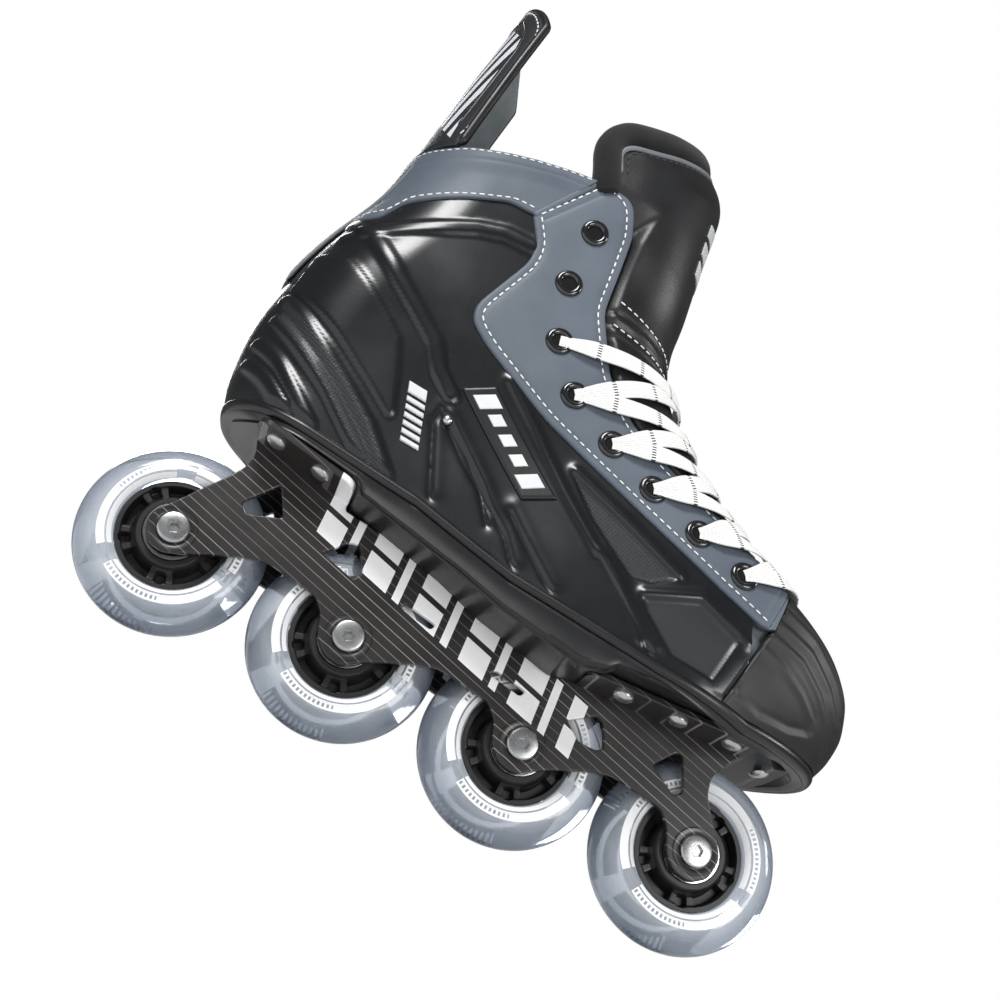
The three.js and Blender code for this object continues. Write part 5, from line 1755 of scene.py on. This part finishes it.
@dataclass(frozen=True)
class Facings:
    """Slate leather: two eyestays down the throat and the collar round the heel, all edge-stitched."""

    lift: float = 0.25
    thickness: float = 1.05
    roll: float = 1.3
    stitch_lift: float = 1.42

    def eyestay(self, side: Side) -> bpy.types.Object:
        """One eyestay as a patch ruled between its lower and upper edge.

        Args:
            side: the side of the boot.

        Returns:
            The linked object.
        """
        count = 260
        lower, upper = resample(EYESTAY_LOWER, count, 2.2), resample(EYESTAY_UPPER, count, 2.2)
        outline = tuple(map(tuple, lower[::4])) + tuple(map(tuple, upper[::-4]))
        order = eased(count) * (count - 1)
        index = np.arange(count)
        x, z = ruled(follow(order, index, lower), follow(order, index, upper), eased(60))
        depth = np.abs(depth_inside(outline, x, z))
        crown = self.lift + self.thickness * rolled_edge(depth, self.roll)
        crown += 0.25 * smoothstep(2, 7, depth) - 0.22 * np.exp(-((depth - 3.4) / 0.7) ** 2)
        q = side.value * FORM.girth(x, z)
        return shell_object(f"eyestay_{side.name.lower()}_look", FORM.raised(q, z, crown),
                            FORM.raised(q, z, self.lift - 1.3), None, False, 60)

    def collar_half(self, t: np.ndarray, count: int) -> tuple[np.ndarray, np.ndarray]:
        """Girth and height of one half of the collar, from the heel to the seam."""
        heel_low = np.array([[float(FORM.heel(np.array(184.0))), 183.5]])
        low = np.vstack([heel_low, np.array([p for p in COLLAR_LOW if p[0] > -118])])
        top = np.array([(-121.0, 231.0)] + [p for p in COLLAR_TOP if -110 < p[0] < -50] + [(-49.3, 248.6)])
        low, top = closed_in_girth(resample(low, 200, 2)), closed_in_girth(resample(top, 200, 2))
        low[0, 0] = top[0, 0] = 0.0
        low, top = resample(low, count), resample(top, count)
        both = low[None] * (1 - t[:, None, None]) + top[None] * t[:, None, None]
        return both[..., 0], both[..., 1]

    def collar(self) -> bpy.types.Object:
        """The collar, rolled over a soft pad at its top edge."""
        q, z = self.collar_half(eased(56), 170)
        q, z = mirrored(q, -1.0), mirrored(z)
        t = eased(56)[:, None]
        height = 40.0
        depth = np.minimum(t, 1 - t) * height
        crown = self.lift + self.thickness * rolled_edge(depth, self.roll) + 0.9 * smoothstep(0.5, 0.85, t)
        crown = crown - 0.22 * np.exp(-(((1 - t) * height - 9) / 0.8) ** 2) + 0 * q
        inner_depth = -1.0 - 4.5 * smoothstep(0.55, 0.95, t)
        roof = smoothstep(0.93, 1.0, t)
        return shell_object("collar_look", FORM.raised(q, z, crown - 2.4 * roof),
                            FORM.raised(q, z - 1.5 * roof, inner_depth + 0 * q), None, False, 70)

    def seams(self) -> list[np.ndarray]:
        """Every stitching line of the eyestays and collar."""
        runs = []
        for side in Side:
            runs.append(skin_line(shifted(EYESTAY_LOWER[:-1], 3.3), side, self.stitch_lift))
            runs.append(skin_line(shifted(EYESTAY_UPPER[:-1], -3.2), side, self.stitch_lift))
            runs.append(skin_line(((-62.5, 220), (-46, 248)), side, self.stitch_lift, 0.5, 60))
            for share, offset in ((0.09, 1.4), (0.915, 2.05)):
                q, z = self.collar_half(np.array([share]), 200)
                runs.append(FORM.run(side.value * q[0], z[0], offset))
        return runs

    def build(self, finishes: Finishes) -> None:
        """Makes the eyestays, the collar, the fold between them and the stitching."""
        for side in Side:
            tag = side.name.lower()
            placed(self.eyestay(side), "boot", "slate_leather", finishes.slate, f"eyestay_{tag}")
            line = skin_line(((-64.5, 218.5), (-57, 233), (-49, 248.5)), side, 0.7)
            fold = tube_along(f"collar_fold_{tag}", line, 1.5, 0.7)
            placed(fold, "boot", "slate_leather", finishes.slate)
        placed(self.collar(), "boot", "slate_leather", finishes.slate, "collar")
        placed(stitches("facing_stitches", self.seams()), "boot", "", finishes.thread)


@dataclass(frozen=True)
class Guard:
    """Flexible tendon guard behind the ankle, lined with suede and bound at its edge."""

    front_edge: Line = ((230, -109), (234, -105), (243, -102.5), (270, -101.5), (293, -101), (308, -104),
                        (320, -111), (326, -116.5), (329.0, -119.6))
    top: float = 329.0
    root: float = 230.6
    rows: int = 110
    columns: int = 96

    def sheet(self, offset: float, inset: float,
              bulge: float = 0.0) -> tuple[np.ndarray, np.ndarray, np.ndarray]:
        """Girth, height and offset over the guard, with its edges drawn in by inset.

        Args:
            offset: distance out from the skin.
            inset: how far the edges are drawn in.
            bulge: further distance out, away from the edges.

        Returns:
            Girths, heights and offsets, each with shape (rows, columns).
        """
        t, u = np.meshgrid(eased(self.rows), -np.cos(np.linspace(0, math.pi, self.columns)), indexing="ij")
        edge = SoftTable(self.front_edge, 3.0)
        z = self.root + inset + (self.top - inset - self.root - inset) * t
        reach = FORM.girth(np.maximum(edge(z), FORM.heel(z) + 0.02), z)
        reach = np.maximum(reach - inset, 0.3)
        tip = np.sqrt(np.clip((self.top - inset * 0.5 - z) / 13, 0, 1))
        q = u * np.minimum(reach, 2 + 33 * tip)
        z = z + np.clip(2.6 * (np.abs(q) / 40) ** 2, 0, 3) * (1 - t)
        depth = np.minimum((1 - np.abs(u)) * reach, np.minimum(t, 1 - t) * 100)
        return q, z, offset + bulge * rolled_edge(depth, 3.0)

    def border(self, inset: float, offset: float) -> np.ndarray:
        """A line round the guard's free edge, from one foot over the tip to the other, with normals."""
        q, z, _ = self.sheet(0, inset)
        run_q = np.concatenate([q[8:, 0], q[-1, 1:-1], q[:7:-1, -1]])
        run_z = np.concatenate([z[8:, 0], z[-1, 1:-1], z[:7:-1, -1]])
        return resample(FORM.run(run_q, run_z, offset), 320)

    def build(self, finishes: Finishes) -> None:
        """Makes the shell, lining, piping, border step and stitching, and the spine below."""
        q, z, offset = self.sheet(0.1, 0.8, 1.1)
        low_q, low_z, _ = self.sheet(0, 0.8)
        outer = FORM.raised(q, z, offset)
        shell = shell_object("tendon_guard_look", outer, FORM.raised(low_q, low_z, -1.6))
        placed(shell, GUARD_FLEX, "guard_leather", finishes.guard, "tendon_guard")
        q, z, _ = self.sheet(0, 1.2)
        lining_depth = np.minimum((1 - np.abs(np.linspace(-1, 1, self.columns)))[None, :] * 40, 12)
        pad = -1.7 - 2.0 * rolled_edge(lining_depth + 0 * q, 8.0)
        lining = shell_object("guard_lining", FORM.raised(q, z, -1.3), FORM.raised(q, z, pad))
        placed(lining, GUARD_FLEX, "lining_suede", finishes.suede)
        piping = tube_along("guard_piping", self.border(0.9, -0.5), 1.9, 1.15, 14)
        placed(piping, GUARD_FLEX, "tongue_leather", finishes.tongue)
        edge = tube_along("guard_panel_edge", self.border(11.5, 0.95), 0.9, 0.8)
        placed(edge, GUARD_FLEX, "tongue_leather", finishes.tongue)
        placed(stitches("guard_stitches", [self.border(4.6, 1.35)]), GUARD_FLEX, "", finishes.thread)
        t = np.linspace(0, 1, 60)[:, None]
        u = np.linspace(-1, 1, 30)[None, :]
        z = 150 + 80 * t + 0 * u
        width = 9 + 9 * smoothstep(0.3, 1.0, t)
        q = u * width
        crown = 1.35 + 0.75 * rolled_edge((1 - np.abs(u)) * width + 0 * t, 1.6) * smoothstep(0, 0.04, t)
        spine = shell_object("heel_spine", FORM.raised(q, z, crown), FORM.raised(q, z, 0.2))
        placed(spine, "boot", "guard_leather", finishes.guard)
        edges = []
        for turn in (-1.0, 1.0):
            run = FORM.run(turn * (width[:, 0] + 0.6), z[:, 0], 1.4)
            edges.append(tube_along("spine_piping", run, 0.95))
        placed(joined("spine_piping", edges), "boot", "", finishes.binding)


@dataclass(frozen=True)
class Tongue:
    """Padded tongue: a leather skin up the instep, a flex seam, and a thick felt rim with a binding."""

    top: float = 320.5
    lower_top: float = 202.2
    upper_foot: float = 201.2
    felt_radius: float = 6.4
    rows: int = 190
    columns: int = 120

    def heights(self) -> np.ndarray:
        """Heights of the rows, at even steps up the front of the boot."""
        z = np.linspace(139.5, self.top, 900)
        return resample(np.stack([FORM.instep(z), z], axis=1), self.rows)[:, 1]

    def girths(self, z: np.ndarray, u: np.ndarray, inset: float = 0.0) -> np.ndarray:
        """Girth at side share u, from -1 at the lateral edge to 1 at the medial edge, drawn in by inset."""
        edge = SoftTable(TONGUE_EDGE, 3.0)
        front = FORM.length(z)
        start = FORM.girth(np.minimum(edge(z), FORM.instep(z) - 0.3), z) + inset
        return np.where(u < 0, -1, 1) * (front - (front - start) * self.rounded_top(z + inset) * np.abs(u))

    def rounded_top(self, z: np.ndarray) -> np.ndarray:
        """Share of the width that is left at each height: 1 below, falling to 0.52 round the top corners."""
        rest = np.clip((self.top + 1 - z) / 17, 0, 1)
        return 0.52 + 0.48 * np.sqrt(1 - (1 - rest) ** 2)

    def crown(self, q: np.ndarray, z: np.ndarray) -> np.ndarray:
        """Offset of the leather: full in the open throat, tucked under beside the facings.

        Args:
            q: signed girths.
            z: heights.

        Returns:
            Offsets from the boot's skin.
        """
        x = FORM.point(q, z)[..., 0]
        facing = np.array(FACING + ((97, 140),))[::-1]
        edge_x = np.interp(z, facing[:, 1], facing[:, 0])
        tuck = smoothstep(-1.5, 5.0, x - edge_x)
        open_part = smoothstep(236, 252, z)
        puff = 1.3 * smoothstep(212, 236, z) + 0.9 * np.exp(-((z - 168) / 22) ** 2)
        groove = np.abs(z - 200.0 - (x - 11) * 0.15)
        puff = puff - 1.5 * np.exp(-(groove / 1.6) ** 2) - 0.7 * np.exp(-((groove - 5.5) / 1.2) ** 2)
        return (0.9 + puff) * np.maximum(tuck, open_part) - 2.8 * (1 - np.maximum(tuck, open_part))

    def build(self, finishes: Finishes) -> None:
        """Makes the lower tongue, upper tongue, rim, binding, label and flex seam."""
        heights = self.heights()
        u_line = np.linspace(-1, 1, self.columns)
        halves = (("lower", "boot", heights < self.lower_top), ("upper", FLEX, heights > self.upper_foot))
        for part, body, keep in halves:
            z, u = np.meshgrid(heights[keep], u_line, indexing="ij")
            q = self.girths(z, u)
            crown = self.crown(q, z)
            rim = np.minimum((1 - np.abs(u)) * 40, self.top + 0.1 - z)
            wall = (2.2 + 3.6 * smoothstep(225, 262, z)) * (0.3 + 0.7 * rolled_edge(rim, 6.0))
            fall = 2.4 * (1 - rolled_edge(rim, 5.0)) * smoothstep(236, 250, z)
            thing = shell_object(f"tongue_{part}_look", self.nod(FORM.raised(q, z, crown - fall)),
                                 self.nod(FORM.raised(q, z, crown - fall - wall)), None, False, 70)
            placed(thing, body, "tongue_leather", finishes.tongue, f"tongue_{part}")
        felt = self.rim_run(244, 3.6, -3.0)
        felt_rim = tube_along("tongue_felt_rim", felt, self.felt_radius, 0.95, 20)
        placed(felt_rim, "tongue_top", "foam_fabric", finishes.felt)
        # The binding is grey as a painted highlight of the tongue's shiny rolled edge.
        binding = self.rim_run(256, 8.6, 0.5)
        placed(tube_along("tongue_binding", binding, 1.1, 0.8), "tongue_top", "", finishes.binding)
        placed(stitches("tongue_stitches", [self.rim_run(258, 12.0, 0.15)], 2.4, 3.6, 0.9), "tongue_top",
               "", finishes.dark_thread)
        seams = [self.across(z, 1.1) for z in (196.5, 206.5)]
        placed(stitches("flex_seam_low", [seams[0]]), "boot", "", finishes.thread)
        placed(stitches("flex_seam_high", [seams[1]]), FLEX, "", finishes.thread)
        self.label(finishes)

    def nod(self, points: np.ndarray) -> np.ndarray:
        """Bends the tongue's top back by the square of its height over the bend, and lowers its sides."""
        rise = np.maximum(points[..., 2:3] - 286, 0)
        back = rise ** 2 * 0.0145
        drop = rise ** 2 * 0.0125
        x, y, z = points[..., :1], points[..., 1:2], points[..., 2:3]
        side_drop = 0.0155 * y ** 2 * smoothstep(250, 310, z)
        return np.concatenate([x - back, y, z - drop - side_drop], axis=-1)

    def rim_run(self, start: float, inset: float, offset: float) -> np.ndarray:
        """A line up one side edge, over the top and down the other, drawn in by inset."""
        side_z = start + (self.top - inset - start) * np.sin(np.linspace(0, math.pi / 2, 160))
        side_q = self.girths(side_z, np.ones(160), inset)
        top_z = np.full(60, side_z[-1])
        top_q = self.girths(top_z, np.linspace(1, 0, 60), inset)
        half = np.stack([np.concatenate([side_q, top_q[1:]]), np.concatenate([side_z, top_z[1:]])], axis=1)
        run_q, run_z = np.concatenate([half * (-1, 1), half[::-1]]).T
        run = FORM.run(run_q, run_z, self.crown(run_q, run_z) + offset)
        return resample(np.hstack([self.nod(run[:, :3]), run[:, 3:]]), 300, 3.0)

    def across(self, z: float, offset: float) -> np.ndarray:
        """A line across the open throat at one height, lateral to medial."""
        height = np.full(80, z)
        edge = np.interp(z, [p[1] for p in FACING[::-1]], [p[0] for p in FACING[::-1]]) + 4
        front = float(FORM.length(np.array(z)))
        start = float(FORM.girth(np.array(edge), np.array(z)))
        run = np.linspace(-1, 1, 80)
        q = np.where(run < 0, -1, 1) * (front - (front - start) * np.abs(run))
        return FORM.run(q, height, self.crown(q, height) + offset - 0.8)

    def label(self, finishes: Finishes) -> None:
        """Three plain slanted bars on the front of the tongue."""
        bars = []
        for low in (252.0, 263.0, 274.0):
            t, s = np.meshgrid(np.linspace(0, 1, 12), np.linspace(-1, 1, 40), indexing="ij")
            z = low + 7.5 * t + 3.0 * s
            q = np.where(s < 0, -1, 1) * (FORM.length(z) - 21 * np.abs(s))
            crown = self.crown(q, z)
            bars.append(shell_object("bar", self.nod(FORM.raised(q, z, crown + 0.35)),
                                     self.nod(FORM.raised(q, z, crown - 0.4))))
        placed(joined("tongue_label", bars), "tongue_top", "", finishes.pale)


@dataclass(frozen=True)
class Lacing:
    """Enamelled eyelets up both facings and a flat lace crossed through the lower six."""

    seat: float = 1.45
    width: float = 7.4
    thickness: float = 1.2
    laced: int = 6

    def eyelets(self, side: Side, finishes: Finishes) -> None:
        """Rolled eyelet rings, with near-black discs in their holes as painted shade.

        Args:
            side: the side of the boot.
            finishes: the materials.
        """
        angle = np.linspace(0, math.pi, 11)
        roll = np.c_[4.35 + 1.45 * np.cos(angle), self.seat + 1.4 * np.sin(angle)]
        head = [(0.0, self.seat + 0.1), (2.86, self.seat + 0.1)]
        profile = np.vstack([head, roll[::-1][1:], [(5.7, 0.6), (0.0, 0.6)]])
        # A near-black disc fills each hole: painted shade where the real hole is only in shadow.
        disc = np.array([(0.0, self.seat + 0.25), (2.9, self.seat + 0.25), (2.9, 0.7), (0.0, 0.7)])
        rings, hole_shade_discs = [], []
        for x, z in EYELET_ROW:
            height = np.array([z], float)
            at = FORM.run(side.value * FORM.girth(np.array([x], float), height), height, 0.0)[0]
            rings.append(lathe_object("ring", profile, 40, at[:3], at[3:]))
            hole_shade_discs.append(lathe_object("well", disc, 24, at[:3], at[3:]))
        tag = side.name.lower()
        eyelets = joined(f"eyelets_{tag}_look", rings)
        placed(eyelets, "boot", "eyelet_enamel", finishes.enamel, f"eyelets_{tag}")
        placed(joined(f"eyelet_hole_shade_discs_{tag}", hole_shade_discs), "boot", "", finishes.dark)

    def strand(self, start: tuple[float, float], end: tuple[float, float], side: Side,
               over: float) -> bpy.types.Object:
        """One crossing of the lace.

        The line leaves one eyelet, climbs over the front of the tongue and drops to the other side's
        eyelet. Its side-view place follows the sine of the way across, as the skin turns under it.

        Args:
            start: side-view place of the eyelet it leaves.
            end: side-view place of the eyelet it reaches.
            side: the side it leaves.
            over: extra lift at the middle, where it passes over another crossing.

        Returns:
            The strand.
        """
        count = 72
        way = np.linspace(0, 1, count)
        near = way <= 0.5
        reach = np.sin(way * math.pi)
        middle = ((start[0] + end[0]) / 2, (start[1] + end[1]) / 2)
        run = np.arange(0, 120, 0.5)
        ahead = run[np.argmax(middle[0] + run >= FORM.instep(middle[1] + run / 2))]
        top = (middle[0] + ahead, middle[1] + ahead / 2)
        base_x = np.where(near, start[0], end[0])
        base_z = np.where(near, start[1], end[1])
        x = base_x + (top[0] - base_x) * reach
        z = base_z + (top[1] - base_z) * reach
        turn = np.where(near, side.value, -side.value)
        q = turn * FORM.girth(x, z)
        from_end = np.minimum(way, 1 - way)
        lift = 2.0 + 1.9 * smoothstep(0.0, 0.07, from_end) - 0.5 * smoothstep(0.12, 0.3, from_end)
        lift = lift + over * np.exp(-((way - 0.5) / 0.2) ** 2)
        path = resample(FORM.raised(q, z, lift), count, 2.5)
        normal = FORM.normal(q, z)
        along = unit(np.gradient(path, axis=0))
        across = unit(np.cross(along, normal))
        out = unit(np.cross(across, along))
        angle = np.linspace(0, 2 * math.pi, 28, endpoint=False)
        flat = np.c_[np.sign(np.cos(angle)) * np.abs(np.cos(angle)) ** 0.45 * self.width / 2,
                     np.sign(np.sin(angle)) * np.abs(np.sin(angle)) ** 0.8 * self.thickness / 2]
        pinch = 0.62 + 0.38 * smoothstep(0, 0.1, from_end)
        rings = sweep(path, across, out, flat, pinch)
        steps = travelled(path)
        uv = np.stack(np.broadcast_arrays(steps[:, None], flat[None, :, 0] + 4), axis=-1)
        return capped_tube("strand", rings, uv, 60)

    def build(self, finishes: Finishes) -> None:
        """Makes the eyelets and the lace."""
        for side in Side:
            self.eyelets(side, finishes)
        used = EYELET_ROW[-self.laced:]
        strands = [self.strand(used[-1], used[-1], Side.LATERAL, 0.0)]
        for upper, lower in zip(used[:-1], used[1:]):
            strands.append(self.strand(lower, upper, Side.LATERAL, 0.2))
            strands.append(self.strand(upper, lower, Side.LATERAL, 1.5))
        placed(joined("lace_look", strands), "boot", "lace_weave", finishes.lace, "lace")


@dataclass(frozen=True)
class Interior:
    """What shows inside the boot, and the plain nodes that stay as they are."""

    def dress_nodes(self, finishes: Finishes) -> None:
        """Gives the nodes that stay visible their own finishes."""
        looks = {"liner": ("lining_suede", finishes.suede), "footbed": ("foam_fabric", finishes.foam),
                 "lasting_board": ("board", finishes.board)}
        for number in range(1, 5):
            looks[f"bearing_spacer_{number}"] = ("bearing_steel", finishes.bearing)
        for name, (slot, material) in looks.items():
            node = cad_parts[name]
            node.data.materials.clear()
            node.data.materials.append(material)

    def cuff(self, finishes: Finishes) -> None:
        """A soft padded roll inside the collar, quilted along the ankle."""
        half = 150
        t = np.linspace(0, 1, 60)[:, None]
        u = np.linspace(0, 1, half)[None, :]
        edge = np.array([place for place in COLLAR_TOP if place[0] > -110], float)
        top = np.vstack([[(0.0, 229.5)], closed_in_girth(edge) - (0.0, 2.5)])
        q = top[-1, 0] * u + 0 * t
        z_top = np.interp(q, top[:, 0], top[:, 1])
        z = 176 + (z_top - 176) * t
        pad = -4.6 - 3.4 * smoothstep(0, 0.12, 1 - t) - 0.9 * np.exp(-(((t - 0.45) * 60 / 5) ** 2)) + 0 * q
        pad = pad + 2.0 * smoothstep(0.93, 1.0, t)
        q, z, pad = mirrored(q, -1.0), mirrored(z), mirrored(pad)
        back = FORM.raised(q, z, -3.0)
        thing = shell_object("ankle_lining", back, FORM.raised(q, z, pad))
        placed(thing, "boot", "lining_suede", finishes.suede)

    def build(self, finishes: Finishes) -> None:
        """Dresses the nodes and makes the cuff."""
        self.dress_nodes(finishes)
        self.cuff(finishes)


def main() -> None:
    """Builds the skate from the ground up, then the studio."""
    logging.basicConfig(level=logging.INFO, format="%(message)s", stream=sys.stdout)
    finishes = Finishes()
    parts = (Wheels(), SkateFrame(), Outsole(), Quarter(), ToeCap(), Facings(), Guard(), Tongue(), Lacing(),
             Interior())
    for part in parts:
        LOG.info("building %s", type(part).__name__)
        part.build(finishes)
    Studio().build()


if __name__ == "__main__":
    main()
